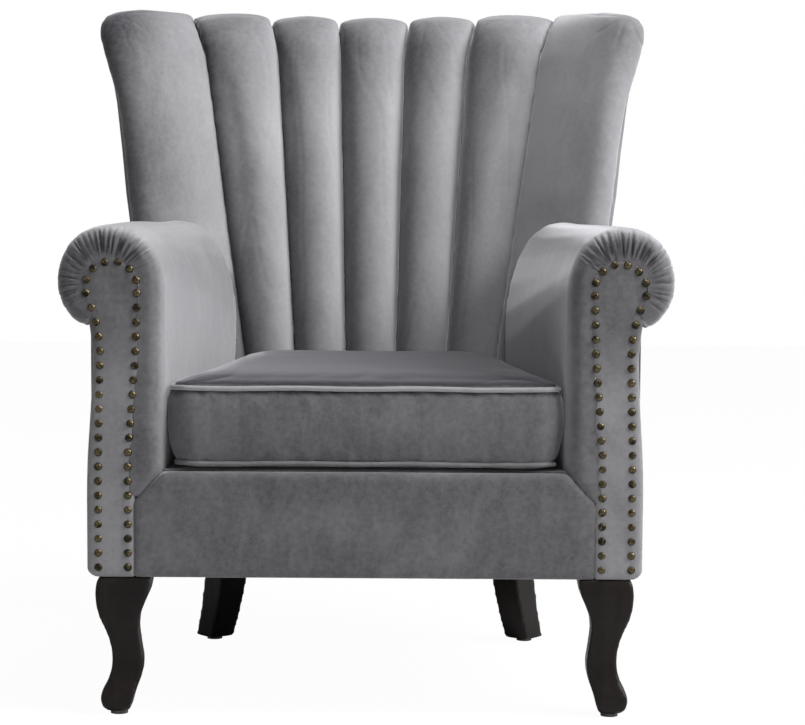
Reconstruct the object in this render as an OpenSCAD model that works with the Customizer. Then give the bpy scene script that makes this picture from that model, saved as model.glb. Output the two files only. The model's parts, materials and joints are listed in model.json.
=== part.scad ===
// Wingback armchair: hardwood frame, padded arms, channelled back, wings, one loose seat cushion.
// The front of the chair faces -Y, +Z is up, and the origin lies on the floor in the middle.
// Left and right are a viewer's, standing in front of the chair. Right-hand pieces are drawn,
// left-hand ones are their mirror images.

/* [Overall] */
// Overall depth, from the nail heads to the top of the outside back
chair_d = 740; // [640:5:860]
// Floor to the underside of the upholstered base
base_z = 178; // [140:1:220]
// Floor to the top of the arm rolls
arm_h = 610; // [560:1:660]
// Floor to the top of the wings
wing_h = 914; // [860:1:980]
// Floor to the top of the middle channel
back_h = 912; // [860:1:980]
// Lean of the back from upright, in degrees
recline = 11.5; // [6:0.5:16]

/* [Base] */
// Width of the base at the front
base_front_w = 700; // [620:2:800]
// Width of the base at the outside back
base_rear_w = 569; // [500:1:620]
// Height of the upholstered front border
border_h = 131; // [110:1:150]
// Thickness of the border's padding
border_t = 10; // [6:1:16]
// Height of the seat rails
rail_h = 86; // [60:1:90]
// Thickness of the seat rails
rail_t = 22; // [16:1:30]
// Thickness of the outer fabric panels with their lining board
panel_t = 6; // [3:0.5:8]
// Leg length of the triangular corner blocks
block_leg = 78; // [60:1:95]
// Thickness of the corner blocks
block_t = 34; // [24:1:44]

/* [Arms] */
// Radius of the arm roll
roll_r = 62; // [52:1:72]
// Distance from the roll's axis in to the inside face, at the front
arm_in_front = 66; // [56:1:76]
// The same distance at the wing
arm_in_rear = 72; // [66:1:90]
// Height of the inside top rounding at the front
arm_round_front = 62; // [50:1:90]
// Height of the inside top rounding at the wing
arm_round_rear = 180; // [100:2:200]
// Distance from the roll's axis out to the outside panel
arm_out = 26; // [18:1:36]
// Radius of the facing's round head
facing_r = 40.5; // [32:0.5:46]
// Thickness of the facing panel
facing_t = 10; // [6:1:14]
// Thickness of the arm post behind the facing
post_t = 22; // [16:1:30]
// Padding of the arm's inside face
arm_pad_t = 18; // [12:1:20]
// Arm rail width
arm_rail_w = 42; // [32:1:44]
// Arm rail thickness
arm_rail_t = 26; // [18:1:32]

/* [Nails] */
// Diameter of a nail head
nail_d = 10; // [7:0.5:12]
// Height of the nail's dome
nail_dome_h = 3.5; // [2.5:0.1:4]
// Diameter of a nail shank
nail_shank_d = 1.6; // [1.2:0.1:2]
// Length of a nail shank
nail_shank_l = 16; // [12:1:20]
// Nails up each straight side of one facing
nails_side = 20; // [12:1:24]
// Nails round the head of one facing
nails_head = 6; // [4:1:8]

/* [Back and wings] */
// Height of the outside back panel's top edge
outside_back_z = 885; // [830:1:940]
// Width of the outside back panel at its top
outside_back_top_w = 598; // [560:1:640]
// Depth of the back posts from front to rear
back_post_d = 50; // [36:1:56]
// Thickness of the back posts
back_post_t = 32; // [24:1:40]
// How far a channel's crown stands out from its seams
channel_crown = 20; // [12:1:26]
// Radius of the padded front edge of a wing
wing_edge_r = 22; // [16:1:26]
// Thickness of a wing board
wing_board_t = 16; // [12:1:20]

/* [Cushion] */
// Floor to the cushion's top piping
cushion_welt_z = 415; // [400:1:425]
// Rise of the crown above the top piping
cushion_crown = 25; // [10:1:30]
// Depth of the cushion
cushion_d = 482; // [440:1:484]
// Width of the cushion at the front piping
cushion_front_w = 499; // [460:1:502]
// Width of the cushion at the rear piping
cushion_rear_w = 370; // [340:1:374]
// Diameter of the piping
piping_d = 6; // [4:0.5:8]
// Length of the zip in the rear boxing
zip_l = 340; // [240:5:344]
// Width of the zip tape
zip_w = 24; // [16:1:30]

/* [Legs] */
// Width of a front leg where it meets the base
leg_top_w = 66; // [56:1:72]
// Width of a front leg at its ankle
leg_ankle_w = 32; // [26:1:38]
// Width of a front leg at its foot
leg_foot_w = 40; // [34:1:46]
// Width of a rear leg where it meets the base
rear_leg_top_w = 50; // [40:1:54]
// Width of a rear leg at the floor
rear_leg_foot_w = 40; // [30:1:44]
// How far a rear leg's foot stands out beyond its top
rear_leg_kick = 36; // [20:1:50]
// Diameter of a glide
glide_d = 22; // [16:1:24]
// Height of a glide
glide_h = 4; // [3:0.5:6]
// Diameter of the leg bolts
bolt_d = 8; // [6:0.5:10]

/* [Hidden] */
$fn = 32;
// Running clearance between soft pieces
gap = 0.3;
// Overrun of a cut past the surface that it opens
over = 1;
front_y = nail_dome_h - chair_d / 2;
post_y = front_y + facing_t;
rail_y = post_y + post_t;
lean = tan(recline);
back_y0 = chair_d / 2 - (outside_back_z - base_z) * lean;
base_taper = (base_front_w - base_rear_w) / 2 / (back_y0 - front_y);
roll_z = arm_h - roll_r;
border_top = base_z + border_h;
// Underside of the rails above the base's lower edge
rail_lift = 5;
rail_z = base_z + rail_lift;
rail_top = rail_z + rail_h;
// Height about which the padding rolls over the top of the back
roll_pivot_z = back_h - channel_crown * 3;
// Distance from the roll's axis in to the facing's straight inner edge
keyhole_in_low = 35;
// Angle below the middle of the facing's head at which the nails' arc starts, in degrees
nail_low_angle = 12;
velvet = [0.45, 0.43, 0.46];
velvet_dark = [0.36, 0.35, 0.37];
timber = [0.78, 0.62, 0.42];
dark_wood = [0.13, 0.1, 0.09];
antique_brass = [0.45, 0.36, 0.22];
steel = [0.6, 0.6, 0.62];

// Half width of the base's outer face at depth y
function base_half(y) = base_front_w / 2 - (y - front_y) * base_taper;
// Distance of the arm roll's axis from the middle at depth y
function roll_x(y) = base_half(y) - arm_out;
// Depth of the outside back's outer face at height z
function back_y(z) = back_y0 + (z - base_z) * lean;
// Depth of the back posts' front face at height z
function post_front(z) = back_y(z) - panel_t - back_post_d;
// Depth at which the back's pads end, on the webbing
webbing_t = 1.2;
function pad_back(z) = post_front(z) - webbing_t - 2 * gap;
function mix(a, b, t) = a + (b - a) * t;

module both_sides(side) {
    if (side > 0) children();
    else mirror([1, 0, 0]) children();
}

// Solid skin over rings of equal length. Each ring runs anticlockwise about the way the rings
// follow each other. A paired ring holds an outer line and then an inner line turned back, and
// its end caps are strips between the two lines.
module skin(rings, paired = false) {
    n = len(rings[0]);
    last = (len(rings) - 1) * n;
    m = n / 2;
    walls = [for (i = [0:len(rings) - 2]) for (j = [0:n - 1]) let (
            a = i * n + j,
            b = i * n + (j + 1) % n,
            c = b + n,
            d = a + n
        ) each [[a, d, c], [a, c, b]]];
    fans = [for (k = [1:n - 2]) each [[0, k, k + 1], [last, last + k + 1, last + k]]];
    strips = [for (k = [0:m - 2]) let (p = n - 1 - k, q = n - 2 - k) each [
            [k, k + 1, q], [k, q, p],
            [last + k, last + q, last + k + 1], [last + k, last + p, last + q]
        ]];
    polyhedron(points = [for (r = rings) each r], faces = concat(walls, paired ? strips : fans),
        convexity = 8);
}

// Rails of the seat frame

module front_rail() {
    color(timber) translate([-facing_in_low + gap, post_y, rail_z])
        cube([2 * (facing_in_low - gap), rail_t, rail_h]);
}

module back_rail() {
    color(timber) translate([-back_rail_half, back_rail_y, rail_z])
        cube([2 * back_rail_half, rail_t, rail_h]);
}

module side_rail(side) {
    color(timber) both_sides(side) translate([0, 0, rail_z]) linear_extrude(rail_h)
        polygon([
            [side_face(rail_y), rail_y],
            [side_face(back_y0 - panel_t), back_y0 - panel_t],
            [side_face(back_y0 - panel_t) - rail_t, back_y0 - panel_t],
            [side_face(rail_y) - rail_t, rail_y]
        ]);
}
// Outer face of a side rail at depth y
function side_face(y) = base_half(y) - panel_t;
facing_in_low = roll_x(front_y) - keyhole_in_low;
back_rail_half = side_face(back_y0) - rail_t - back_post_t - 2 * over - gap;
back_rail_y = back_y0 - panel_t - rail_t;

module corner_blocks() {
    z = rail_z;
    color(timber) for (side = [-1, 1]) both_sides(side) {
        difference() {
            translate([0, 0, z]) linear_extrude(block_t) polygon([
                [front_block_x, front_block_y],
                [front_block_x - block_leg * 1.3, front_block_y],
                [front_block_x - block_leg * 0.3, front_block_y + block_leg],
                [front_block_x - block_leg * base_taper, front_block_y + block_leg]
            ]);
            translate([front_bolt_x, front_bolt_y, z - over])
                cylinder(d = tee_d + 2 * fit, h = block_t + 2 * over);
        }
        difference() {
            translate([0, 0, z]) linear_extrude(block_t) polygon([
                [rear_block_x, rear_block_y],
                [rear_block_x + block_leg * base_taper, rear_block_y - block_leg],
                [rear_block_x - block_leg * 0.3, rear_block_y - block_leg],
                [rear_block_x - block_leg * 1.2, rear_block_y]
            ]);
            translate([rear_bolt_x, rear_bolt_y, z - over])
                cylinder(d = tee_d + 2 * fit, h = block_t + 2 * over);
        }
    }
}
// Clearance of a bolt or tee nut in its hole
fit = 0.1;
tee_d = bolt_d + 3;
front_block_x = side_face(rail_y) - rail_t;
front_block_y = rail_y;
rear_block_y = post_front(rail_z) - gap;
rear_block_x = side_face(rear_block_y) - rail_t;
// Step back of a front leg behind the border's face, and of its top end inside the covers
leg_set_back = 1.2;
leg_ledge = border_t + 2 * over - leg_set_back;
front_leg_x = roll_x(front_y) - leg_top_w * 0.35;
front_leg_y = front_y + leg_set_back + leg_top_w / 2;
front_bolt_x = front_leg_x - leg_top_w * 0.12;
front_bolt_y = front_leg_y + leg_top_w * 0.26;
rear_leg_x = rear_block_x - block_leg * 0.76;
rear_leg_y = rear_block_y - block_leg * 0.45;
rear_bolt_x = rear_leg_x + rear_leg_top_w * 0.4;
rear_bolt_y = rear_leg_y;

// Keyhole outline of the facing and of the arm post behind it, as distances in and out from
// the roll's axis at the front
keyhole_in_neck = 45;
keyhole_out_low = 18;
keyhole_out_neck = 15;
keyhole_low_z = base_z + border_h * 1.16;
keyhole_neck_z = roll_z - roll_r * 1.48;
head_x = roll_x(front_y) - roll_r * 0.118;
head_z = roll_z - roll_r * 0.113;
module keyhole(foot_z) {
    x = roll_x(front_y);
    union() {
        translate([head_x, head_z]) circle(r = facing_r);
        polygon([
            [x - keyhole_in_low, foot_z],
            [x + keyhole_out_low, foot_z],
            [x + keyhole_out_low + panel_t / 12, keyhole_low_z],
            [x + keyhole_out_neck, keyhole_neck_z],
            [head_x + facing_r * cos(45), head_z - facing_r * sin(45)],
            [head_x, head_z],
            [head_x - facing_r * cos(8), head_z - facing_r * sin(8)],
            [x - keyhole_in_neck, keyhole_neck_z],
            [x - keyhole_in_low, keyhole_low_z]
        ]);
    }
}
module keyhole_board(foot_z, y, t) {
    translate([0, y + t, 0]) rotate([90, 0, 0]) linear_extrude(t) keyhole(foot_z);
}

// Places of the nails round one facing, each as distance from the middle and height
nail_inset = 8;
nail_foot_z = base_z + nail_inset * 1.5;
nail_r = facing_r - nail_inset;
nail_x = roll_x(front_y);
// Inner and outer nail lines at height z, below the head
function nail_in(z) = nail_x - mix(keyhole_in_low, keyhole_in_neck, neck_share(z)) + nail_inset;
function nail_out(z) = nail_x + mix(keyhole_out_low, keyhole_out_neck, neck_share(z)) - nail_inset;
function neck_share(z) = max(0, min(1, (z - keyhole_low_z) / (keyhole_neck_z - keyhole_low_z)));
nail_top_z = head_z - nail_r * sin(nail_low_angle);
function nail_places() = concat(
    [for (i = [0:nails_side - 1]) let (
            z = mix(nail_foot_z, nail_top_z, i / (nails_side - 1)),
            t = max(0, (z - keyhole_neck_z) / (nail_top_z - keyhole_neck_z)),
            edge_in = head_x - nail_r * cos(nail_low_angle),
            edge_out = head_x + nail_r * cos(nail_low_angle)
        ) each [[mix(nail_in(z), edge_in, t), z], [mix(nail_out(z), edge_out, t * t), z]]],
    [for (i = [1:nails_head]) let (
            turn = mix(-nail_low_angle, 180 + nail_low_angle, i / (nails_head + 1))
        ) [head_x + nail_r * cos(turn), head_z + nail_r * sin(turn)]]);

module nail_holes(d) {
    for (p = nail_places()) translate([p[0], front_y - over, p[1]]) rotate([-90, 0, 0])
        cylinder(d = d, h = nail_shank_l + gap + over);
}

module arm_post(side) {
    color(timber) both_sides(side) difference() {
        keyhole_board(rail_z, post_y, post_t);
        translate([base_half(rail_y) - panel_t - gap, post_y - over, rail_z - over])
            cube([panel_t, post_t + 2 * over, outside_arm_top + gap - rail_z + over]);
        nail_holes(nail_shank_d + fit);
    }
}

module arm_facing(side) {
    color(velvet_dark) both_sides(side) difference() {
        keyhole_board(base_z + gap, front_y, facing_t - gap / 3);
        nail_holes(nail_shank_d + fit);
    }
}

module arm_nails(side) {
    dome_r = (nail_d * nail_d / 4 + nail_dome_h * nail_dome_h) / (2 * nail_dome_h);
    color(antique_brass) both_sides(side) for (p = nail_places())
        translate([p[0], front_y, p[1]]) rotate([90, 0, 0]) {
            intersection() {
                translate([0, 0, nail_dome_h - dome_r]) sphere(r = dome_r);
                cylinder(d = nail_d, h = nail_dome_h + over);
            }
            translate([0, 0, -nail_shank_l]) cylinder(d = nail_shank_d, h = nail_shank_l + gap);
        }
}

module arm_rail(side) {
    z = roll_z - roll_r * 0.75;
    color(timber) both_sides(side) translate([0, 0, z]) linear_extrude(arm_rail_t) polygon([
        [arm_rail_x(rail_y), rail_y],
        [arm_rail_x(rail_y) + arm_rail_w, rail_y],
        [arm_rail_x(post_front(z)) + arm_rail_w, post_front(z)],
        [arm_rail_x(post_front(z)), post_front(z)]
    ]);
}
// Inner edge of an arm rail at depth y
function arm_rail_x(y) = roll_x(y) + arm_out - 2 * panel_t - arm_rail_w;

// A post that leans with the back between heights z0 and z1
module leaning_post(x0, x1, z0, z1, t) {
    skin([for (zx = [[z0, x0], [z1, x1]]) let (z = zx[0], x = zx[1], y = post_front(z)) [
            [x - t, y, z], [x, y, z], [x, y + back_post_d, z], [x - t, y + back_post_d, z]
        ]]);
}
back_post_foot_x = side_face(back_y0) - rail_t - 2 * over;
back_post_top_x = outside_back_top_w / 2 - panel_t - rail_t;
back_post_top_z = roll_pivot_z - over - gap;

module back_post(side) {
    color(timber) both_sides(side)
        leaning_post(back_post_foot_x, back_post_top_x, rail_z, back_post_top_z, back_post_t);
}

function post_x(z) = mix(back_post_foot_x, back_post_top_x, (z - rail_z) / (back_post_top_z - rail_z));

// A rail across the back between the posts, of height h below z1
module cross_rail(z1, h) {
    xs = [for (z = [z1 - h, z1]) post_x(z) - back_post_t];
    skin([for (i = [0, 1]) let (z = z1 - h * (1 - i), x = xs[i], y = post_front(z) + rail_t / 2) [
            [-x, y, z], [x, y, z], [x, y + rail_t, z], [-x, y + rail_t, z]
        ]]);
}
module back_top_rail() { color(timber) cross_rail(back_post_top_z, rail_h * 0.7); }
module back_lower_rail() { color(timber) cross_rail(border_top + rail_h * 1.4, rail_h * 0.6); }

// Springing of the seat and the webbing of the back

spring_count = 5;
spring_wire = 3.6;
spring_w = 46;
spring_pitch = 25;
spring_gap = (2 * back_rail_half - spring_w) / (spring_count + 1);
spring_y0 = post_y + rail_t * 0.7;
spring_y1 = back_rail_y + rail_t * 0.3;
spring_z = rail_top + panel_t / 2;
spring_turns = floor((spring_y1 - spring_y0) / spring_pitch);
spring_step = (spring_y1 - spring_y0) / spring_turns;
function spring_x(i) = (i - (spring_count + 1) / 2) * spring_gap;

module zigzag_spring() {
    w = spring_w / 2;
    t = spring_wire / 2;
    // Alternate cross bars joined at one end and then the other
    translate([-w, spring_y0 - t, 0]) cube([2 * w, spring_wire, spring_wire]);
    for (i = [1:spring_turns]) {
        translate([-w, spring_y0 + i * spring_step - t, 0]) cube([2 * w, spring_wire, spring_wire]);
        translate([i % 2 == 0 ? -w : w - spring_wire, spring_y0 + (i - 1) * spring_step - t, 0])
            cube([spring_wire, spring_step + spring_wire, spring_wire]);
    }
}

module seat_springs() {
    color(steel) for (i = [1:spring_count]) translate([spring_x(i), 0, spring_z]) zigzag_spring();
}

module spring_clips() {
    clip_w = spring_w / 3;
    wall = panel_t / 4;
    reach = spring_wire + panel_t / 2;
    color(steel) for (i = [1:spring_count]) for (end = [-1, 1]) {
        y = end < 0 ? spring_y0 : spring_y1;
        translate([spring_x(i) - clip_w / 2, y, rail_top]) mirror([0, end > 0 ? 1 : 0, 0])
            rotate([90, 0, 90]) linear_extrude(clip_w) difference() {
                translate([-reach, 0])
                    square([2 * reach, spring_z + spring_wire + gap + wall - rail_top]);
                translate([wall - reach, spring_z - rail_top - gap])
                    square([2 * reach, spring_wire + 2 * gap]);
            }
    }
}

deck_top = border_top + panel_t / 2;
// Reach of the border's padding over the front rail
border_lip = rail_t / 4;
deck_y0 = front_y + border_t + border_lip + gap;
deck_y1 = post_front(border_top) - panel_t * 5;
module deck_sheet(z, t) {
    translate([0, 0, z]) linear_extrude(t) polygon([
        [deck_half(deck_y0), deck_y0], [deck_half(deck_y1), deck_y1],
        [-deck_half(deck_y1), deck_y1], [-deck_half(deck_y0), deck_y0]
    ]);
}
// Half width between the arm pads at depth y
function deck_half(y) = arm_inside(y) - over;
deck_cover_t = 2;
deck_pad_z = spring_z + spring_wire + panel_t / 4 + 2 * gap;
module deck_pad() { color([0.9, 0.88, 0.8]) deck_sheet(deck_pad_z, deck_top - deck_cover_t - deck_pad_z); }
module deck_cover() {
    color(velvet_dark)
        deck_sheet(deck_top - deck_cover_t + gap / 3, deck_cover_t - gap / 3);
}

// Padded border under the cushion, with mitred corners at the arms and a lip over the rail
module front_border() {
    half = facing_in_low - gap;
    mitre = facing_in_low - arm_inside(front_y) + panel_t;
    lip_z = rail_top + gap;
    lip = border_t + border_lip;
    soft = border_t * 0.7;
    color(velvet_dark) intersection() {
        translate([0, front_y + border_t + rail_t + over, 0]) rotate([90, 0, 0])
            linear_extrude(border_t + rail_t + 2 * over) polygon([
                [-half, base_z], [half, base_z], [half, border_top - mitre],
                [half - mitre, border_top], [mitre - half, border_top], [-half, border_top - mitre]
            ]);
        translate([-half - over, front_y, 0]) rotate([90, 0, 90]) linear_extrude(2 * (half + over))
            polygon([
                [soft * 0.3, base_z], [border_t - gap / 3, base_z], [border_t - gap / 3, lip_z],
                [lip, lip_z], [lip, border_top],
                each [for (turn = [90:22.5:180]) [
                    soft + soft * cos(turn), border_top - soft + soft * sin(turn)
                ]],
                [0, base_z + soft]
            ]);
    }
}

// Arms. A station of an arm is its section at one depth, given by points along an outer line
// and an inner line.

arm_steps = 8;
arm_arc_in = 7;
arm_arc_out = 9;
roll_end_angle = -62;
hollow_end_angle = -42;
// Share of the way from the facing to the wing at depth y
function arm_share(y) = max(0, (y - front_y) / (wing_seat_y - front_y));
function arm_in(y) = mix(arm_in_front, arm_in_rear, arm_share(y));
function arm_round(y) = mix(arm_round_front, arm_round_rear, arm_share(y));
function arm_inside(y) = roll_x(y) - arm_in(y);
arm_foot_z = border_top - panel_t * 0.4;
arm_under_z = rail_top + panel_t * 1.4;
// Point i of the outer line at depth y, drawn in by d
function arm_outer(i, y, d) = let (
        x = roll_x(y), a = arm_in(y), b = arm_round(y), foot = arm_foot_z
    )
    i == 0 ? [x - a + d, y, foot]
    : i == 1 ? [x - a + d, y, (foot + arm_h - b) / 2]
    : i < arm_arc_in + 2 ? let (turn = 180 - 90 * (i - 2) / (arm_arc_in - 1))
        [x + (a - d) * cos(turn), y, arm_h - b + (b - d) * sin(turn)]
    : let (turn = 90 + (roll_end_angle - 90) * (i - arm_arc_in - 1) / arm_arc_out)
        [x + (roll_r - d) * cos(turn), y, roll_z + (roll_r - d) * sin(turn)];
arm_points = arm_arc_in + arm_arc_out + 2;
// Point i of the inner line at depth y
core_r = (facing_r + gap) / cos((90 - roll_end_angle) / arm_arc_out / 2);
// The arm's hollow runs straight back past the post before it follows the arm: the depth
// whose section it takes at depth y
function hollow_y(y) = max(front_y, y - (rail_y - front_y) - over);
function arm_inner(i, y) = let (
        h = hollow_y(y),
        x = roll_x(h) + head_x - roll_x(front_y),
        a = arm_in(h) - arm_in_front + core_r,
        b = arm_round(h) - arm_round_front + core_r,
        s = arm_share(h),
        low = mix(keyhole_in_low + gap, arm_in(h) - arm_pad_t, min(1, s * 4)),
        neck = mix(keyhole_in_neck + gap, arm_in(h) - arm_pad_t, min(1, s * 4)),
        top = head_z + core_r
    )
    i == 0 ? [roll_x(h) - low, y, arm_under_z]
    : i == 1 ? [roll_x(h) - neck, y, mix(keyhole_neck_z, (arm_foot_z + top - b) / 2, min(1, s * 4))]
    : i < arm_arc_in + 2 ? let (turn = 180 - 90 * (i - 2) / (arm_arc_in - 1))
        [x + a * cos(turn), y, top - b + b * sin(turn)]
    : let (turn = 90 + (hollow_end_angle - 90) * (i - arm_arc_in - 1) / arm_arc_out)
        [x + core_r * cos(turn), y, head_z + core_r * sin(turn)];

// Depth at which the line of outer or inner point i meets the wing's front face
function arm_end(i, inner, y = 0, n = 5) = n == 0 ? y : let (
        p = inner ? arm_inner(i, y) : arm_outer(i, y, 0)
    ) arm_end(i, inner, wing_face_y(p[0], p[2]) - gap, n - 1);
arm_front_soft = 20;
function arm_station(y_share, d) = [
    for (i = [0:arm_points - 1]) arm_outer(i, mix(front_y, arm_end(i, false), y_share), d),
    for (k = [1:arm_points]) let (i = arm_points - k)
        arm_inner(i, mix(front_y, arm_end(i, true), y_share))
];
// Ring of the arm at depth y near the facing, with its outer line drawn in by d
function arm_front_ring(y, d) = [
    for (i = [0:arm_points - 1]) arm_outer(i, y, i > arm_arc_in + 1 ? d : d * arm_draw_in_share),
    for (k = [1:arm_points]) arm_inner(arm_points - k, y)
];
arm_draw = 14;
arm_draw_in_share = 0.8;

module arm_pad(side) {
    color(velvet) both_sides(side) skin(concat(
        [for (turn = [0:30:90]) arm_front_ring(front_y + over + arm_front_soft * (1 - cos(turn)),
            arm_draw * (1 - sin(turn)))],
        [arm_front_ring(rail_y + gap, 0)],
        [for (j = [1:arm_steps]) arm_station(mix(0.12, 1, j / arm_steps), 0)]
    ), true);
}

// Inside back. A seam line runs up between neighbouring channels: at height z its distance from
// the middle and its depth.

seat_seam_x_shares = [0.07, 0.21, 0.35];
top_seam_x_shares = [0.089, 0.262, 0.462];
back_seam_w = base_rear_w * 0.934;
seam_z0 = base_z + border_h * 1.92;
seam_z1 = roll_pivot_z;
wing_seat_y = post_front(seam_z0) - back_post_d;
seat_seam_depths = [45, 48, 55];
top_seam_depths = [42, 56, 90];
function seam_x(k, z) = back_seam_w
    * mix(seat_seam_x_shares[k], top_seam_x_shares[k], (z - seam_z0) / (seam_z1 - seam_z0));
function seam_y(k, z) = pad_back(z)
    - mix(seat_seam_depths[k], top_seam_depths[k], (z - seam_z0) / (seam_z1 - seam_z0));
// Seams fan out over the top roll
roll_flare = 0.105;
channel_arc = 8;
channel_z0 = deck_top + gap;
channel_rise = 8;
// Seam n from the left, 0 to 5
function seam_at(n, z) = let (k = n < 3 ? 2 - n : n - 3, side = n < 3 ? -1 : 1)
    [side * seam_x(k, z), seam_y(k, z)];
// Plan of one channel at height z: its front line from left to right as places and bulge shares
function channel_front(n, z) = let (a = seam_at(n - 1, z), b = seam_at(n, z), d = b - a,
        out = [d[1], -d[0]] / norm(d)
    ) [for (i = [0:channel_arc]) let (u = i / channel_arc, bulge = sin(180 * u) ^ 0.7) [
        a + d * u + out * channel_crown * bulge + [gap * (0.5 - u), 0], bulge
    ]];
channel_back = 9;
channel_end_z = roll_pivot_z;
function channel_top(n) = back_h + (n == 3 ? 0 : (abs(n - 3) == 1 ? 2 : 5));
function channel_ring(n, z) = [
    for (p = channel_front(n, z)) [p[0][0], p[0][1], z],
    [seam_at(n, z)[0] - gap / 2, pad_back(z), z],
    [seam_at(n - 1, z)[0] + gap / 2, pad_back(z), z]
];
function channel_roll_ring(n, turn) = let (
        z = roll_pivot_z, py = pad_back(z), h = channel_top(n) - z,
        flare = 1 + roll_flare * min(1, turn / 90), rear = back_post_d + panel_t - over
    ) [
        for (p = channel_front(n, z)) let (
                reach = turn <= 90 ? py - p[0][1] : rear * mix(0.85, 1, p[1])
            ) [
            p[0][0] * flare, py - reach * cos(turn),
            z + (h - channel_rise * (1 - p[1])) * sin(turn)
        ],
        [seam_at(n, z)[0] * flare - gap / 2, py - channel_back * cos(turn),
            z + channel_back * sin(turn)],
        [seam_at(n - 1, z)[0] * flare + gap / 2, py - channel_back * cos(turn),
            z + channel_back * sin(turn)]
    ];

module back_channel(n) {
    color(velvet) both_sides(n > 3 ? -1 : 1) channel_skin(n > 3 ? 6 - n : n);
}
module channel_skin(n) {
    skin(concat(
        [for (j = [0:3]) channel_ring(n, mix(channel_z0, roll_pivot_z - over, j / 3))],
        [for (turn = [0:20:140]) channel_roll_ring(n, turn)]
    ));
}

// Wings. At height z the front face of a wing runs from the outermost seam D to the edge E.

// Height shares of the wing above the arm, with the half width there as a share of the base's
wing_z_shares = [0, 0.135, 0.33, 0.563, 0.746, 0.846];
wing_x_shares = [0.966, 0.986, 1.007, 1.037, 1.07, 1.104];
function wing_z(i) = arm_h + (wing_h - arm_h) * wing_z_shares[i];
function wing_level(z, i = 0) = i >= len(wing_z_shares) - 2 || z < wing_z(i + 1) ? i
    : wing_level(z, i + 1);
// Outermost half width of a wing at height z
function wing_half(z) = let (
        i = wing_level(z),
        t = (z - wing_z(i)) / (wing_z(i + 1) - wing_z(i))
    ) base_front_w / 2 * mix(wing_x_shares[i], wing_x_shares[i + 1], min(1, t));
wing_edge_depth = 245;
function wing_edge(z) = [
    wing_half(z) - wing_edge_r * 1.1,
    mix(back_y(arm_h), back_y(wing_h), (z - arm_h) / (wing_h - arm_h)) - wing_edge_depth
];
function wing_seam(z) = z <= roll_pivot_z ? [seam_x(2, z), seam_y(2, z)] : let (
        turn = asin(min(1, (z - roll_pivot_z) / (channel_top(5) - channel_rise - roll_pivot_z))),
        reach = pad_back(roll_pivot_z) - seam_y(2, roll_pivot_z)
    ) [
        seam_x(2, roll_pivot_z) * (1 + roll_flare * turn / 90),
        pad_back(roll_pivot_z) - reach * cos(turn)
    ];
// Depth of a wing's front face at distance x and height z
function wing_face_y(x, z) = let (d = wing_seam(z), e = wing_edge(z))
    d[1] + (x - d[0]) * (e[1] - d[1]) / (e[0] - d[0]);

wing_arc = 5;
wing_face_points = 4;
wing_bulge = 5;
// Points round a wing's front edge at height z, with the edge at e and an edge radius r
function wing_edge_arc(z, e, r) = let (
        d = wing_seam(z) + [gap, 0],
        u = (e - d) / norm(e - d),
        v = [-u[1], u[0]],
        c = e - u * r + v * r
    ) [for (i = [0:wing_arc]) let (turn = -90 + i * 150 / wing_arc)
        c + u * r * cos(turn) + v * r * sin(turn)];
// Inner face of the outside wing panel at height z, from the edge arc's end to the rear corner
function wing_side(z, e, r) = [
    wing_edge_arc(z, e, r)[wing_arc] + [gap, 0],
    [mix(base_rear_w, outside_back_top_w, (z - base_z) / (outside_back_z - base_z)) / 2 - panel_t,
        min(back_y(z), back_y(outside_back_z)) - panel_t - gap]
];
// Ring of a wing pad at height z, with the edge at e, an edge radius r and its rear line at y
function wing_ring(z, e, r, y) = let (
        d = wing_seam(z) + [gap, 0],
        arc = wing_edge_arc(z, e, r),
        side = wing_side(z, e, r),
        t = (y - side[0][1]) / (side[1][1] - side[0][1])
    ) [
        [d[0], d[1], z],
        each [for (i = [1:wing_face_points]) let (t = i / (wing_face_points + 1), f = arc[0] - d,
            q = d + f * t + [f[1], -f[0]] / norm(f) * wing_swell(z) * sin(180 * t)) [q[0], q[1], z]],
        each [for (q = arc) [q[0], q[1], z]],
        [mix(side[0][0], side[1][0], t) - gap, y, z],
        [wing_inner_x(z), y, z],
        [z > roll_pivot_z ? wing_inner_x(z) : mix(d[0], wing_inner_x(z), 0.5) + gap / 2,
            z > roll_pivot_z ? pad_back(roll_pivot_z) : mix(d[1], y, 0.5), z]
    ];
// Crown of a wing's front face at height z
function wing_swell(z) = z > arm_h ? wing_bulge : 0;
// Edge of a wing pad behind the outermost channel
function wing_inner_x(z) = z <= roll_pivot_z ? seam_x(2, z) + gap
    : seam_x(2, roll_pivot_z) * (1 + roll_flare) + 2 * gap;

wing_low_x = 26;
module wing_skin() {
    top = wing_h - roll_pivot_z;
    rear = function(z) pad_back(z);
    skin(concat(
        [for (z = [channel_z0, arm_h - roll_r * 1.3]) let (d = wing_seam(z), x = d[0] + wing_low_x)
            wing_low_ring(z, [x, wing_face_y(x, z)])],
        [for (z = wing_levels)
            wing_ring(z, wing_edge(z), wing_edge_r, rear(z))],
        [for (t = wing_top_shares) let (
                z = roll_pivot_z + top * t[0],
                e = wing_edge(z),
                d = wing_seam(z)
            ) wing_ring(z, d + (e - d) * t[1], wing_edge_r * t[2],
                back_y(min(z, outside_back_z)) - panel_t - gap - wing_edge_r * (1 - t[2]))]
    ));
}
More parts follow.
